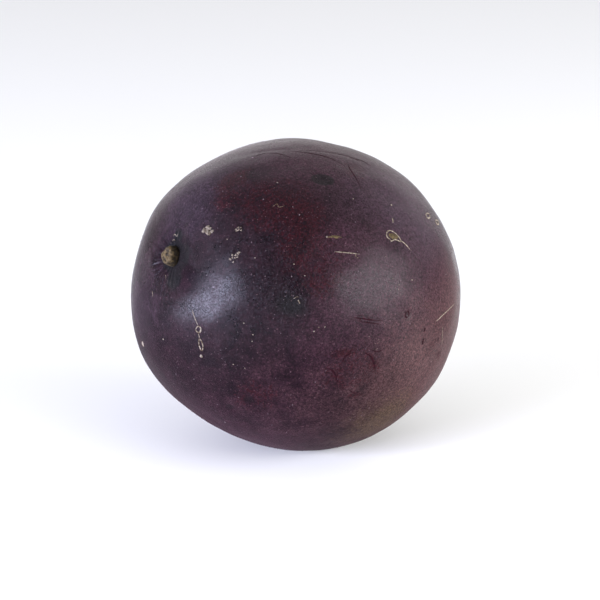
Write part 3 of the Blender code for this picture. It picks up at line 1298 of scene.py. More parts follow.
CORK_STROKES = (
    # A healed scratch on the funnel's edge: a line, a ring, a neck and a long loop
    Stroke(
        Spot(21.4, -127.0), ((0.0, 0.0), (-0.22, 0.69), (-0.40, 1.49), (-0.52, 2.3)),
        0.08, 0.04, tone=0.6,
    ),
    Stroke(
        Spot(26.9, -130.3),
        ((0.0, 0.0), (0.16, 0.46), (-0.26, 0.8), (-0.67, 0.69), (-0.78, 0.23), (-0.36, 0.0)),
        0.10, 0.05, looped=True, tone=0.5,
    ),
    Stroke(Spot(28.4, -133.2), ((0.0, 0.0), (-0.2, 0.4), (-0.32, 0.85)), 0.075, 0.045, tone=0.45),
    Stroke(
        Spot(30.4, -135.2),
        (
            (0.0, 0.0), (0.0, 0.48), (-0.25, 1.1), (-0.65, 1.5),
            (-0.95, 1.62), (-0.92, 1.2), (-0.72, 0.65), (-0.36, 0.2),
        ),
        0.08, 0.04, looped=True, tone=0.38,
    ),
    # A short bright dash with a fine curved line by it
    Stroke(Spot(50.7, -86.0), ((0.0, 0.0), (-0.44, 0.46)), 0.10, 0.06, tone=0.9),
    Stroke(Spot(49.2, -86.2), ((0.0, 0.0), (0.43, 0.34), (0.52, 0.69)), 0.05, 0.03, tone=0.3),
    # A straight thin line that ends in a tick
    Stroke(Spot(59.9, -63.2), ((0.0, 0.0), (0.1, 1.26), (0.2, 2.75), (0.3, 4.23)), 0.07, 0.045, tone=0.8),
    Stroke(Spot(67.6, -62.8), ((0.0, 0.0), (-0.42, 0.11)), 0.07, 0.04, tone=0.25),
    # A pointed loop with a tail and a small mark above it
    Stroke(
        Spot(87.4, -53.5),
        (
            (0.0, 0.0), (0.92, -0.69), (1.37, -1.72), (1.37, -2.52), (0.8, -3.09),
            (0.11, -3.09), (-0.23, -2.52), (-0.46, -2.17), (0.0, -1.49), (0.0, -0.69),
        ),
        0.09, 0.05, looped=True, tone=0.7,
    ),
    Stroke(Spot(87.4, -53.2), ((0.0, 0.0), (-0.34, 0.92), (-1.2, 2.25)), 0.09, 0.05, tone=0.85),
    Stroke(Spot(84.1, -44.8), ((0.0, 0.0), (-0.34, 0.1), (-0.85, 0.1)), 0.13, 0.06, tone=0.9),
    # Two small rings by the far edge
    Stroke(
        Spot(107.1, -34.0), ((0.0, 0.0), (0.3, 0.95), (-0.5, 0.7), (-1.15, -0.25), (-0.8, -0.6)),
        0.12, 0.07, looped=True, tone=0.9,
    ),
    Stroke(
        Spot(114.9, -32.6), ((0.0, 0.0), (0.3, 0.8), (-0.5, 0.65), (-1.0, -0.1), (-0.7, -0.5)),
        0.12, 0.07, looped=True, tone=0.9,
    ),
    # Two pale scratches towards the blossom end
    Stroke(
        Spot(113.6, -78.2), ((0.0, 0.0), (1.26, 1.6), (2.73, 3.66), (4.83, 6.75)),
        0.08, 0.045, tone=0.85,
    ),
    Stroke(Spot(120.3, -79.0), ((0.0, 0.0), (-1.45, 1.28), (-3.2, 3.0)), 0.05, 0.03, tone=0.8),
    # A faint scribble on the red band
    Stroke(Spot(40.2, -41.0), ((0.0, 0.0), (0.3, 0.69), (-0.3, 0.92), (-0.22, 1.72)), 0.06, 0.03, tone=0.1),
    # Flakes in the funnel above and below the scar
    Stroke(Spot(7.2, 26.0), ((0.0, 0.0), (-0.4, 0.2), (-0.8, -0.1), (-1.1, 0.3)), 0.06, 0.04, tone=0.5),
    Stroke(Spot(5.8, 34.0), ((0.0, 0.0), (-0.4, 0.1), (-0.7, -0.1)), 0.06, 0.04, tone=0.55),
    Stroke(Spot(6.4, 175.0), ((0.0, 0.0), (0.3, 0.2), (0.5, 0.6)), 0.06, 0.04, tone=0.45),
    Stroke(Spot(13.7, 162.2), ((0.0, 0.0), (0.4, 0.3), (0.62, 0.69)), 0.07, 0.04, tone=0.3),
    # Others of the same kind on the rest of the fruit
    Stroke(Spot(66.0, 48.0), ((0.0, 0.0), (1.6, 0.5), (3.4, 0.4), (4.9, 1.0)), 0.08, 0.045),
    Stroke(Spot(88.0, 86.0), ((0.0, 0.0), (0.4, 1.5), (0.2, 3.2)), 0.07, 0.04),
    Stroke(
        Spot(88.0, 86.0), ((0.2, 3.2), (0.9, 3.9), (0.3, 4.9), (-0.5, 4.0)),
        0.08, 0.05, looped=True, tone=0.5,
    ),
    Stroke(Spot(118.0, 130.0), ((0.0, 0.0), (-1.2, 1.4), (-2.8, 2.1)), 0.08, 0.045, tone=0.5),
    Stroke(Spot(44.0, 128.0), ((0.0, 0.0), (0.8, 1.2), (0.9, 2.6)), 0.08, 0.045),
    Stroke(Spot(140.0, 10.0), ((0.0, 0.0), (2.1, 0.9), (3.6, 2.2)), 0.07, 0.04, tone=0.5),
)

CREASE_STROKES = (
    # Short creases on the middle, and curved ones below them
    Stroke(Spot(70.9, -86.2), ((0.0, 0.0), (0.32, 1.83), (0.54, 3.66), (0.87, 5.72)), 0.11, 0.014),
    Stroke(Spot(74.4, -86.8), ((0.0, 0.0), (0.33, 2.06), (0.55, 3.89)), 0.09, 0.012),
    Stroke(Spot(72.1, -85.0), ((0.0, 0.0), (0.33, 1.83)), 0.05, 0.012),
    Stroke(Spot(70.4, -107.5), ((0.0, 0.0), (-0.11, 1.14), (-0.86, 2.4), (-1.83, 3.43)), 0.19, 0.015),
    Stroke(Spot(81.6, -97.2), ((0.0, 0.0), (-0.34, 1.37), (-1.25, 2.63), (-2.27, 3.32)), 0.20, 0.015),
    Stroke(Spot(76.4, -98.8), ((0.0, 0.0), (-0.89, -0.8), (-2.0, -0.8)), 0.20, 0.015),
    Stroke(Spot(84.1, -113.0), ((0.0, 0.0), (-0.23, 1.37), (0.34, 2.29)), 0.10, 0.012),
    Stroke(Spot(88.4, -94.2), ((0.0, 0.0), (-0.57, -1.03), (-0.57, -2.4)), 0.09, 0.012),
    # The rim of a small round dent, and short marks past it
    Stroke(
        Spot(94.9, -79.2),
        ((0.5, 0.0), (0.3, 0.38), (-0.2, 0.42), (-0.5, 0.1), (-0.35, -0.35), (0.15, -0.42)),
        0.16, 0.014, looped=True,
    ),
    Stroke(Spot(106.9, -82.0), ((0.0, 0.0), (-0.3, 0.25), (-0.75, 0.3)), 0.20, 0.012),
    Stroke(Spot(109.0, -86.2), ((0.0, 0.0), (-0.55, 0.1), (-1.1, 0.5)), 0.24, 0.012),
    Stroke(Spot(119.6, -84.0), ((0.0, 0.0), (-0.4, 0.3), (-0.9, 0.75)), 0.16, 0.012),
    # Long creases over the top
    Stroke(Spot(44.9, -0.8), ((0.0, 0.0), (-0.08, 1.83), (-1.29, 3.2), (-3.64, 4.58)), 0.11, 0.012),
    Stroke(Spot(57.7, -6.2), ((0.0, 0.0), (-1.64, 2.29), (-3.58, 4.92), (-5.61, 6.64)), 0.13, 0.012),
    Stroke(Spot(74.1, -18.5), ((0.0, 0.0), (-2.09, -0.34), (-4.19, -0.23), (-6.5, -0.11)), 0.10, 0.012),
    Stroke(Spot(69.1, -10.0), ((1.5, -3.9), (0.0, 0.0), (-1.4, 4.2), (-3.5, 6.1)), 0.11, 0.012),
    Stroke(Spot(77.1, -14.3), ((0.0, 0.0), (-0.3, 2.5), (-1.6, 3.6)), 0.12, 0.012),
    # Others of the same kind on the rest of the fruit
    Stroke(Spot(72.0, 75.0), ((0.0, 0.0), (1.2, 2.0), (1.8, 4.2)), 0.09, 0.012),
    Stroke(Spot(96.0, 35.0), ((0.0, 0.0), (-0.8, 2.4), (-0.4, 4.8)), 0.09, 0.012),
    Stroke(Spot(100.0, 140.0), ((0.0, 0.0), (1.9, 0.6), (3.8, 0.2)), 0.09, 0.012),
)


@dataclass
class Strokes:
    """All the thin lines of one finish, as one piece of many closed strands."""

    name: str
    slot: str
    form: FruitForm
    finish: DryFinish
    strokes: tuple[Stroke, ...]
    seed: int

    def build(self) -> bpy.types.Object:
        """Makes one mesh of every strand.

        Returns:
            The piece.
        """
        parts = [stroke.mesh(self.form, self.seed + number) for number, stroke in enumerate(self.strokes)]
        piece = new_piece(self.name, *joined(parts))
        turned_outwards(piece)
        draw = np.random.default_rng(self.seed)
        tones = [
            stroke.tone * draw.uniform(0.45, 1.05, len(points))
            for stroke, (points, _) in zip(self.strokes, parts)
        ]
        put_attribute(piece, "pale", np.concatenate(tones))
        return piece

    def dress(self, piece: bpy.types.Object) -> None:
        """Gives the strands their material and their place in the frame.

        Args:
            piece: what build made.
        """
        piece.data.materials.append(self.finish.build())
        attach(piece, ROOT)


@dataclass(frozen=True)
class Scab:
    """A small rough patch of cork with a ragged outline."""

    spot: Spot
    half_round_mm: float
    half_away_mm: float
    height_mm: float
    raggedness: float = 0.25
    tone: float = 0.7
    rings: int = 9
    around: int = 36
    bumpiness: float = 0.45
    rim_sink_mm: float = 0.06
    root_depth_mm: float = 0.2

    def mesh(self, form: FruitForm, seed: int) -> tuple[np.ndarray, list[list[int]]]:
        """A low dome on a ragged oval, with its rim sunk in the skin and a point under it to close it.

        Args:
            form: the fruit's form.
            seed: what outline and roughness are drawn from.

        Returns:
            Points in millimetres and faces.
        """
        draw = np.random.default_rng(seed)
        turn = np.arange(self.around) * math.tau / self.around
        waves = np.arange(2, 8)
        phases = draw.uniform(0.0, math.tau, len(waves))
        rag = (np.sin(turn[:, None] * waves + phases) / np.sqrt(waves)).sum(axis=1)
        share = np.linspace(0.0, 1.0, self.rings + 1)[1:, None]
        reach = share * (1.0 + self.raggedness * rag / 2.0)
        radius = form.mean_radius_mm
        start = math.radians(self.spot.away)
        x = self.half_round_mm * reach * np.cos(turn)
        y = self.half_away_mm * reach * np.sin(turn)
        rough = 1.0 + self.bumpiness * draw.uniform(-1.0, 1.0, (self.rings, self.around))
        lift = self.height_mm * (1.0 - share**3) * rough - self.rim_sink_mm * share**3
        away = np.concatenate([[start], (start + y / radius).ravel(), [start]])
        circle = radius * math.sin(start)
        round_ = math.radians(self.spot.round) + np.concatenate([[0.0], (x / circle).ravel(), [0.0]])
        lift = np.concatenate([[self.height_mm], lift.ravel(), [-self.root_depth_mm]])
        return form.skin(away, round_, lift), polar_faces(self.rings, self.around)


@dataclass(frozen=True)
class Crumbs:
    """A cluster of small scabs that overlap."""

    spot: Spot
    spread_round_mm: float
    spread_away_mm: float
    count: int
    smallest_mm: float
    largest_mm: float
    height_mm: float = 0.12
    tone: float = 0.8
    seed: int = 0

    def scabs(self) -> tuple[Scab, ...]:
        """Draws the scabs of the cluster, thicker in its middle.

        Returns:
            The scabs.
        """
        draw = np.random.default_rng(self.seed)
        off = draw.normal(0.0, 0.5, (self.count, 2)) * (self.spread_round_mm, self.spread_away_mm)
        size = draw.uniform(self.smallest_mm, self.largest_mm, (self.count, 2))
        high = self.height_mm * draw.uniform(0.5, 1.0, self.count)
        tone = self.tone * draw.uniform(0.45, 1.1, self.count)
        radius = FORM.mean_radius_mm
        away = self.spot.away + np.degrees(off[:, 1] / radius)
        circle = radius * math.sin(math.radians(self.spot.away))
        round_ = self.spot.round + np.degrees(off[:, 0] / circle)
        return tuple(
            Scab(Spot(*place), *extent, height, CRUMB_RAGGEDNESS, shade)
            for place, extent, height, shade in zip(zip(away, round_), size, high, tone)
        )


SCABS = (
    # The dot below the long loop
    Scab(Spot(35.4, -142.0), 0.26, 0.30, 0.10, 0.2, 0.85),
    # The bright dot before the yellow-brown streak
    Scab(Spot(57.1, -57.4), 0.17, 0.17, 0.08, 0.1, 1.1),
    Scab(Spot(68.4, -64.0), 0.14, 0.20, 0.03, 0.2, 0.0),
    # Breathing spots larger than the rest
    Scab(Spot(93.6, -66.5), 0.15, 0.15, 0.06, 0.1, 0.9),
    Scab(Spot(85.4, -38.8), 0.17, 0.19, 0.08, 0.1, 1.2),
    Scab(Spot(80.1, -61.0), 0.10, 0.10, 0.05, 0.1, 0.7),
    Scab(Spot(24.2, -57.5), 0.10, 0.11, 0.05, 0.1, 0.8),
    Scab(Spot(27.2, -169.2), 0.12, 0.16, 0.06, 0.1, 0.8),
    Scab(Spot(37.7, -107.3), 0.12, 0.12, 0.05, 0.1, 0.8),
    Scab(Spot(42.2, -109.8), 0.11, 0.14, 0.06, 0.1, 0.9),
    Scab(Spot(43.2, -112.8), 0.09, 0.09, 0.05, 0.1, 0.7),
    Scab(Spot(43.7, -129.2), 0.11, 0.12, 0.05, 0.1, 0.8),
    Scab(Spot(47.2, -126.3), 0.09, 0.10, 0.05, 0.1, 0.7),
    Scab(Spot(44.4, -26.8), 0.12, 0.13, 0.06, 0.1, 0.9),
    Scab(Spot(69.1, -39.0), 0.10, 0.11, 0.05, 0.1, 0.8),
    Scab(Spot(46.7, -71.0), 0.10, 0.13, 0.05, 0.1, 0.7),
    Scab(Spot(33.9, -70.5), 0.10, 0.10, 0.05, 0.1, 0.7),
    Scab(Spot(50.9, -75.2), 0.10, 0.12, 0.05, 0.1, 0.7),
    Scab(Spot(59.7, -96.0), 0.13, 0.12, 0.05, 0.3, 0.7),
    Scab(Spot(60.6, -93.8), 0.10, 0.14, 0.05, 0.3, 0.8),
    Scab(Spot(62.6, -92.8), 0.12, 0.11, 0.05, 0.3, 0.7),
    # Others of the same kind on the rest of the fruit
    Scab(Spot(36.0, 160.0), 0.4, 0.6, 0.10, 0.35, 0.5),
    Scab(Spot(92.0, 20.0), 0.35, 0.3, 0.08, 0.3),
    Scab(Spot(108.0, 95.0), 0.5, 0.4, 0.10, 0.35, 0.5),
)


YELLOW_SCABS = (
    # A pointed streak
    Scab(Spot(60.1, -57.0), 0.34, 0.75, 0.05, 0.3, 0.65),
    Scab(Spot(58.4, -57.3), 0.17, 0.65, 0.05, 0.3, 0.6),
    Scab(Spot(61.5, -56.9), 0.12, 0.50, 0.04, 0.3, 0.4),
    # The inside of the pointed loop
    Scab(Spot(83.7, -52.4), 0.70, 1.40, 0.04, 0.12, 0.4),
)


CRUMBS = (
    # Three corky scabs near the stem, with crumbs that thin out from the first to the last
    Crumbs(Spot(17.5, -42.6), 0.60, 0.60, 16, 0.18, 0.36, 0.20, 0.75, 4),
    Crumbs(Spot(17.9, -41.9), 0.75, 0.70, 6, 0.08, 0.16, 0.08, 0.5, 9),
    Crumbs(Spot(28.1, -51.4), 0.50, 0.50, 10, 0.09, 0.22, 0.07, 0.75, 5),
    Crumbs(Spot(27.0, -70.2), 0.75, 0.70, 13, 0.08, 0.22, 0.07, 0.85, 6),
    # Fine specks in two groups on the far half
    Crumbs(Spot(85.9, -71.5), 1.8, 1.4, 9, 0.05, 0.10, 0.04, 0.7, 12),
    Crumbs(Spot(84.6, -94.0), 1.5, 1.3, 8, 0.05, 0.10, 0.04, 0.6, 13),
    Crumbs(Spot(41.0, 74.0), 0.6, 0.6, 10, 0.10, 0.28, 0.12, 0.85, 21),
    Crumbs(Spot(72.0, 118.0), 0.9, 0.8, 9, 0.08, 0.20, 0.07, 0.7, 22),
    Crumbs(Spot(118.0, 4.0), 0.7, 0.7, 9, 0.08, 0.22, 0.08, 0.7, 23),
)


@dataclass
class Scabs:
    """Corky patches of one finish, as one piece."""

    name: str
    form: FruitForm
    finish: DryFinish
    scabs: tuple[Scab, ...]
    clusters: tuple[Crumbs, ...] = ()
    seed: int = 70

    def build(self) -> bpy.types.Object:
        """Makes one mesh of every patch.

        Returns:
            The piece.
        """
        scabs = self.scabs + tuple(crumb for crumbs in self.clusters for crumb in crumbs.scabs())
        parts = [scab.mesh(self.form, self.seed + number) for number, scab in enumerate(scabs)]
        piece = new_piece(self.name, *joined(parts))
        turned_outwards(piece)
        draw = np.random.default_rng(self.seed)
        tones = [
            scab.tone * draw.uniform(0.55, 1.05, len(points))
            for scab, (points, _) in zip(scabs, parts)
        ]
        put_attribute(piece, "pale", np.concatenate(tones))
        return piece

    def dress(self, piece: bpy.types.Object) -> None:
        """Gives the patches their material and their place in the frame.

        Args:
            piece: what build made.
        """
        piece.data.materials.append(self.finish.build())
        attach(piece, ROOT)


@dataclass
class BreathingSpots:
    """Tiny pale domes scattered over the skin, as one piece."""

    form: FruitForm
    finish: DryFinish
    count: int = 950
    around: int = 7
    smallest_mm: float = 0.05
    largest_mm: float = 0.13
    height_share: float = 0.45
    seed: int = 31
    poles: tuple[float, float] = (-0.99, 0.955)
    ring_reach: float = 0.6
    ring_height: float = 0.75
    rim_sink: float = 0.15
    root_depth: float = 0.5

    def build(self) -> bpy.types.Object:
        """Makes one mesh of every spot: a top point, two rings and a sunk point under each.

        Returns:
            The piece, with each spot's paleness as an attribute.
        """
        draw = np.random.default_rng(self.seed)
        away = np.arccos(draw.uniform(*self.poles, self.count))
        round_ = draw.uniform(-math.pi, math.pi, self.count)
        size = self.smallest_mm + (self.largest_mm - self.smallest_mm) * draw.power(0.4, self.count)
        pale = draw.power(0.3, self.count)
        stretch = draw.uniform(0.75, 1.3, self.count)
        turn = np.arange(self.around) * math.tau / self.around
        ring = np.ones(self.around)
        reach = np.concatenate([[0.0], self.ring_reach * ring, ring, [0.0]])
        spin = np.concatenate([[0.0], turn, turn, [0.0]])
        lift = np.concatenate([[1.0], self.ring_height * ring, -self.rim_sink * ring, [-self.root_depth]])
        radius = self.form.mean_radius_mm
        x = size[:, None] * stretch[:, None] * reach * np.cos(spin)
        y = size[:, None] / stretch[:, None] * reach * np.sin(spin)
        all_away = away[:, None] + y / radius
        all_round = round_[:, None] + x / (radius * np.sin(away)[:, None])
        rise = size[:, None] * self.height_share * lift
        points = self.form.skin(all_away.ravel(), all_round.ravel(), rise.ravel())
        own = polar_faces(2, self.around)
        starts = np.arange(self.count) * len(reach)
        faces = [[number + start for number in face] for start in starts.tolist() for face in own]
        piece = new_piece("breathing_spots", points, faces)
        turned_outwards(piece)
        put_attribute(piece, "pale", np.repeat(pale, len(reach)))
        return piece

    def dress(self, piece: bpy.types.Object) -> None:
        """Gives the spots their material and their place in the frame.

        Args:
            piece: what build made.
        """
        piece.data.materials.append(self.finish.build())
        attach(piece, ROOT)


# ---------------------------------------------------------------- the two ends


@dataclass(frozen=True)
class Bulge:
    """A place where the knob's rim stands out, or with a negative share is pressed in."""

    at_rad: float
    share: float
    width_rad: float


@dataclass(frozen=True)
class Pit:
    """A small round hollow in the knob's top."""

    x_mm: float
    y_mm: float
    width_mm: float
    depth_mm: float

    def hollow(self, x: np.ndarray, y: np.ndarray, wider: float = 1.0) -> np.ndarray:
        """Bell curve of 0 to 1 of the distance from the pit's middle, over a multiple of its width."""
        return hump(np.hypot(x - self.x_mm, y - self.y_mm), self.width_mm * wider)


@dataclass
class EndButton:
    """A small rough knob at one end of the stem line: the stem scar or the blossom point."""

    name: str
    slot: str
    form: FruitForm
    finish: DryFinish
    at_blossom: bool
    radius_mm: float
    height_mm: float
    roundness: float
    bulges: tuple[Bulge, ...] = ()
    pits: tuple[Pit, ...] = ()
    ripples_mm: float = 0.0
    rings: int = 30
    around: int = 72
    seed: int = 9
    rim_unevenness: float = 0.035
    coarse_mm: float = 0.7
    fine_mm: float = 0.3
    edge_sink_mm: float = 0.25
    root_depth_mm: float = 0.8
    top_paleness: float = 0.72
    pit_stain_and_shade: float = 0.9
    pit_shadow: float = 1.3

    def rim(self, turn: np.ndarray) -> np.ndarray:
        """The rim's reach as a share of the radius: 1, plus five small waves, plus the bulges.

        Args:
            turn: angles round the knob in radians.

        Returns:
            One share for each angle.
        """
        phases = np.random.default_rng(self.seed).uniform(0.0, math.tau, 5)
        waves = np.arange(2, 7)
        share = 1.0 + self.rim_unevenness * np.sin(turn[:, None] * waves + phases).sum(axis=1) / 1.6
        for bulge in self.bulges:
            off = np.angle(np.exp(1j * (turn - bulge.at_rad)))
            share = share + bulge.share * hump(off, bulge.width_rad)
        return share

    def heights(self, x: np.ndarray, y: np.ndarray, share: np.ndarray) -> np.ndarray:
        """A dome that falls as one less a high power of the share, less the pits, plus two ripples.

        Args:
            x: places across the knob in millimetres.
            y: places along it in millimetres.
            share: share of the way to the rim.

        Returns:
            Heights in millimetres.
        """
        top = self.height_mm * (1.0 - share**self.roundness) ** 0.6
        for pit in self.pits:
            top = top - pit.depth_mm * pit.hollow(x, y)
        places = np.stack([x, y, top], axis=-1).reshape(-1, 3)
        rough = Ripples(self.coarse_mm, self.seed + 1).at(places).reshape(x.shape)
        fine = Ripples(self.fine_mm, self.seed + 2).at(places).reshape(x.shape)
        top = top + (self.ripples_mm * rough + 0.4 * self.ripples_mm * fine) * (1.0 - share**6)
        return top - self.edge_sink_mm * share**8

    def paleness(self, x: np.ndarray, y: np.ndarray, share: np.ndarray) -> np.ndarray:
        """Pale on top and dark on the flank, and darker in and about the pits with brown dots and painted
        shade.

        Args:
            x: places across the knob in millimetres.
            y: places along it in millimetres.
            share: share of the way to the rim.

        Returns:
            Values that lean the material's mix.
        """
        face = self.top_paleness * (1.0 - s_curve(share, 0.6, 0.97) * np.ones_like(x))
        for pit in self.pits:
            # Brown dots in the pits, with painted shade in and about these hollows
            face = face - self.pit_stain_and_shade * pit.hollow(x, y, self.pit_shadow)
        return face

    def build(self) -> bpy.types.Object:
        """Makes the knob: a middle point, rings out to the rim, and a point under it that closes it.

        Returns:
            The piece, with its paleness as the attribute face.
        """
        turn = np.arange(self.around) * math.tau / self.around
        share = np.linspace(0.0, 1.0, self.rings + 1)[1:, None]
        reach = self.radius_mm * share * self.rim(turn)
        x, y = reach * np.cos(turn), reach * np.sin(turn)
        at_middle = np.zeros(1)
        dip = sum(pit.depth_mm * float(pit.hollow(at_middle, at_middle)[0]) for pit in self.pits)
        top = self.heights(x, y, share)
        lift = np.concatenate([[self.height_mm - dip], top.ravel(), [-self.root_depth_mm]])
        away = np.concatenate([[0.0], (reach / (self.form.length_mm / 2.0)).ravel(), [0.0]])
        round_ = np.concatenate([[0.0], np.broadcast_to(turn, x.shape).ravel(), [0.0]])
        if self.at_blossom:
            away = math.pi - away
        points = self.form.skin(away, round_, lift)
        piece = new_piece(self.name, points, polar_faces(self.rings, self.around))
        turned_outwards(piece)
        face = np.concatenate([[0.5], self.paleness(x, y, share).ravel(), [0.0]])
        put_attribute(piece, "face", face)
        return piece

    def dress(self, piece: bpy.types.Object) -> None:
        """Gives the knob its material and its place in the frame.

        Args:
            piece: what build made.
        """
        piece.data.materials.append(self.finish.build())
        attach(piece, ROOT)


STEM_SCAR = EndButton(
    "stem_scar", "stem_scar", FORM, SCAR_WOOD,
    at_blossom=False, radius_mm=1.70, height_mm=1.75, roundness=4.0,
    bulges=(Bulge(0.2, 0.14, 0.45), Bulge(-1.57, -0.20, 0.9), Bulge(1.57, 0.08, 0.9)),
    pits=(Pit(0.75, 0.10, 0.28, 0.20), Pit(0.10, -0.15, 0.22, 0.15), Pit(-0.75, 0.05, 0.28, 0.40)),
    ripples_mm=0.12,
)
BLOSSOM_POINT = EndButton(
    "blossom_point", "stem_scar", FORM, BLOSSOM_DRY,
    at_blossom=True, radius_mm=1.1, height_mm=0.45, roundness=2.0,
    pits=(Pit(0.0, 0.0, 0.3, 0.15),), ripples_mm=0.08, seed=14,
)


# ---------------------------------------------------------------- table, light and view


@dataclass(frozen=True)
class View:
    """The camera: where it stands round the fruit, how high, and what it aims at."""

    azimuth_deg: float = -34.3
    elevation_deg: float = 20.0
    distance_mm: float = 420.0
    lens_mm: float = 159.2
    aim_right_mm: float = -0.21
    aim_up_mm: float = -0.70
    sensor_mm: float = 36.0
    nearest_m: float = 0.01
    farthest_m: float = 20.0

    def towards(self, bearing_deg: float, elevation_deg: float) -> Vector:
        """Unit vector to a place round the fruit.

        Args:
            bearing_deg: how far round from the camera, positive to its right.
            elevation_deg: how high above the fruit's middle.

        Returns:
            The unit vector from the fruit's middle.
        """
        turn = math.radians(self.azimuth_deg + bearing_deg)
        rise = math.radians(elevation_deg)
        flat = math.cos(rise)
        return Vector((math.sin(turn) * flat, -math.cos(turn) * flat, math.sin(rise)))

    def build(self, middle: Vector) -> bpy.types.Object:
        """Makes the camera and sets it as the scene's own.

        Args:
            middle: the fruit's middle in metres.

        Returns:
            The camera.
        """
        back = self.towards(0.0, self.elevation_deg)
        right = self.towards(90.0, 0.0)
        up = back.cross(right)
        aim = middle + right * (self.aim_right_mm * MM) + up * (self.aim_up_mm * MM)
        data = bpy.data.cameras.new("view")
        data.lens = self.lens_mm
        data.sensor_width = self.sensor_mm
        data.clip_start = self.nearest_m
        data.clip_end = self.farthest_m
        camera = bpy.data.objects.new("view", data)
        turn = Matrix((right, up, back)).transposed()
        camera.matrix_world = Matrix.Translation(aim + back * (self.distance_mm * MM)) @ turn.to_4x4()
        bpy.context.scene.collection.objects.link(camera)
        bpy.context.scene.camera = camera
        return camera


@dataclass(frozen=True)
class Softbox:
    """A soft rectangular light that faces the fruit."""

    name: str
    bearing_deg: float
    elevation_deg: float
    distance_mm: float
    width_mm: float
    height_mm: float
    power_w: float
    hex_code: str = "ffffff"
    roll_deg: float = 0.0

    def build(self, view: View, middle: Vector) -> bpy.types.Object:
        """Makes the light, turned to face the fruit.

        Args:
            view: the camera that the bearing is counted from.
            middle: the fruit's middle in metres.

        Returns:
            The light.
        """
        data = bpy.data.lights.new(self.name, "AREA")
        data.shape = "RECTANGLE"
        data.size = self.width_mm * MM
        data.size_y = self.height_mm * MM
        data.energy = self.power_w
        data.color = colour(self.hex_code)[:3]
        light = bpy.data.objects.new(self.name, data)
        towards = view.towards(self.bearing_deg, self.elevation_deg)
        light.location = middle + towards * (self.distance_mm * MM)
        roll = Quaternion((0.0, 0.0, 1.0), math.radians(self.roll_deg))
        light.rotation_euler = (towards.to_track_quat("Z", "Y") @ roll).to_euler()
        # The panel itself would stand in the background of some views
        light.visible_camera = False
        bpy.context.scene.collection.objects.link(light)
        return light


SOFTBOXES = (
    Softbox("left_softbox", -65.5, 1.0, 460.0, 480.0, 164.0, 12.4, "e2e5ff", 34.0),
    Softbox("right_softbox", 65.0, 5.5, 400.0, 377.0, 294.0, 4.35),
)


@dataclass(frozen=True)
class Glow:
    """Light from one side of the bright room: strength times a power of the share that faces it."""

    bearing_deg: float
    elevation_deg: float
    power: float
    strength: float
    hex_code: str = "ffffff"


ROOM_GLOWS = (
    # The wall behind the fruit, the left and the right wall, and the ceiling
    Glow(180.0, 0.0, 3.0, 1.86),
    Glow(-90.0, 0.0, 2.0, 0.7),
    Glow(90.0, 0.0, 2.0, 1.02),
    Glow(0.0, 90.0, 1.0, 0.46),
)


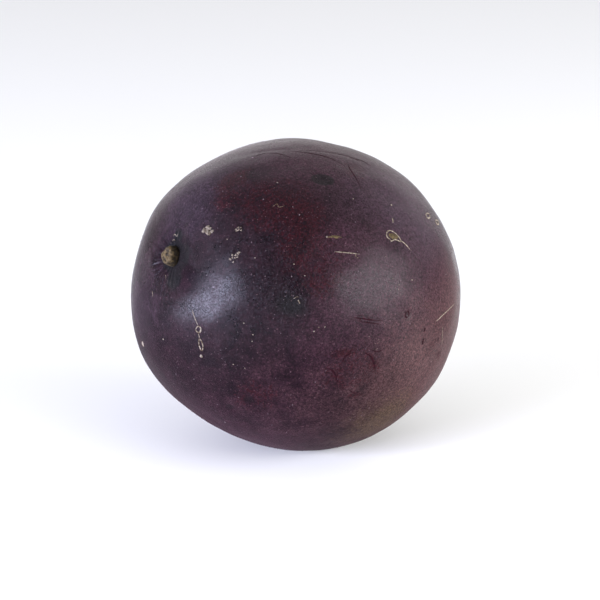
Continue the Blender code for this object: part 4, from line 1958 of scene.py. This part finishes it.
@dataclass(frozen=True)
class Studio:
    """The pale table, the soft lights and the glow of the room's bright walls."""

    view: View
    lights: tuple[Softbox, ...] = SOFTBOXES
    glows: tuple[Glow, ...] = ROOM_GLOWS
    table_half_mm: float = 4000.0
    table_gap_mm: float = 0.05
    table_hex: str = "f3f3f3"
    table_roughness: float = 0.9

    def build(self, middle: Vector) -> None:
        """Makes the table, the lights, the room's glow and the camera.

        Args:
            middle: the fruit's middle in metres.
        """
        self.lay_table()
        for light in self.lights:
            light.build(self.view, middle)
        self.light_room()
        bpy.context.scene.view_settings.view_transform = "Standard"
        self.view.build(middle)

    def lay_table(self) -> None:
        """Makes the pale table.

        It is one flat face, a hair under the fruit so that the two don't touch.
        """
        half = self.table_half_mm
        corners = np.array([[-half, -half], [half, -half], [half, half], [-half, half]])
        height = np.full((4, 1), -self.table_gap_mm)
        table = new_piece("pale_table", np.hstack([corners, height]), [[0, 1, 2, 3]], smooth=False)
        # Matt white board: it takes the fruit's shadow and mirrors nothing
        material, tree = new_material("matt_white_table")
        shader = add_node(
            tree, "ShaderNodeBsdfPrincipled",
            {
                "Base Color": colour(self.table_hex), "Roughness": self.table_roughness,
                "Specular IOR Level": 0.0,
            },
        )
        close_material(tree, shader)
        table.data.materials.append(material)

    def light_room(self) -> None:
        """Adds up the glows in the world's background.

        Each is the dot product with its side, not below 0, to a power, times its colour.
        """
        world = bpy.data.worlds.new("bright_room")
        world.use_nodes = True
        tree = world.node_tree
        direction = add_node(tree, "ShaderNodeTexCoord").outputs["Generated"]
        total = None
        for glow in self.glows:
            side = self.view.towards(glow.bearing_deg, glow.elevation_deg)
            facing = add_node(
                tree, "ShaderNodeVectorMath", {0: direction, 1: side}, operation="DOT_PRODUCT",
            )
            share = add_node(
                tree, "ShaderNodeMath", {0: facing.outputs["Value"], 1: 0.0}, operation="MAXIMUM",
            )
            lobe = add_node(
                tree, "ShaderNodeMath", {0: share.outputs["Value"], 1: glow.power}, operation="POWER",
            )
            tint = [part * glow.strength for part in colour(glow.hex_code)[:3]]
            light = add_node(
                tree, "ShaderNodeVectorMath", {0: tint, "Scale": lobe.outputs["Value"]}, operation="SCALE",
            ).outputs["Vector"]
            if total is not None:
                light = add_node(
                    tree, "ShaderNodeVectorMath", {0: total, 1: light}, operation="ADD",
                ).outputs["Vector"]
            total = light
        tree.links.new(total, tree.nodes["Background"].inputs["Color"])
        bpy.context.scene.world = world


def main() -> None:
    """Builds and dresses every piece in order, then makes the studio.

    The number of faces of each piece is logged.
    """
    logging.basicConfig(level=logging.INFO, format="%(name)s: %(message)s")
    pieces = (
        Rind(FORM, RindFinish()),
        STEM_SCAR,
        BLOSSOM_POINT,
        Scabs("corky_patches", FORM, HEALED_CORK, SCABS, CRUMBS),
        Scabs("yellow_scabs", FORM, YELLOW_CORK, YELLOW_SCABS, seed=50),
        Strokes("healed_scratches", "cork", FORM, HEALED_CORK, CORK_STROKES, 200),
        Strokes("dried_creases", "rind", FORM, CREASE_RIND_AND_SHADE, CREASE_STROKES, 300),
        BreathingSpots(FORM, SPECK_CORK),
    )
    for maker in pieces:
        piece = maker.build()
        maker.dress(piece)
        log.info("%s: %d faces", piece.name, len(piece.data.polygons))
    middle = Vector(FORM.shift_mm * MM)
    Studio(View()).build(middle)


if __name__ == "__main__":
    main()
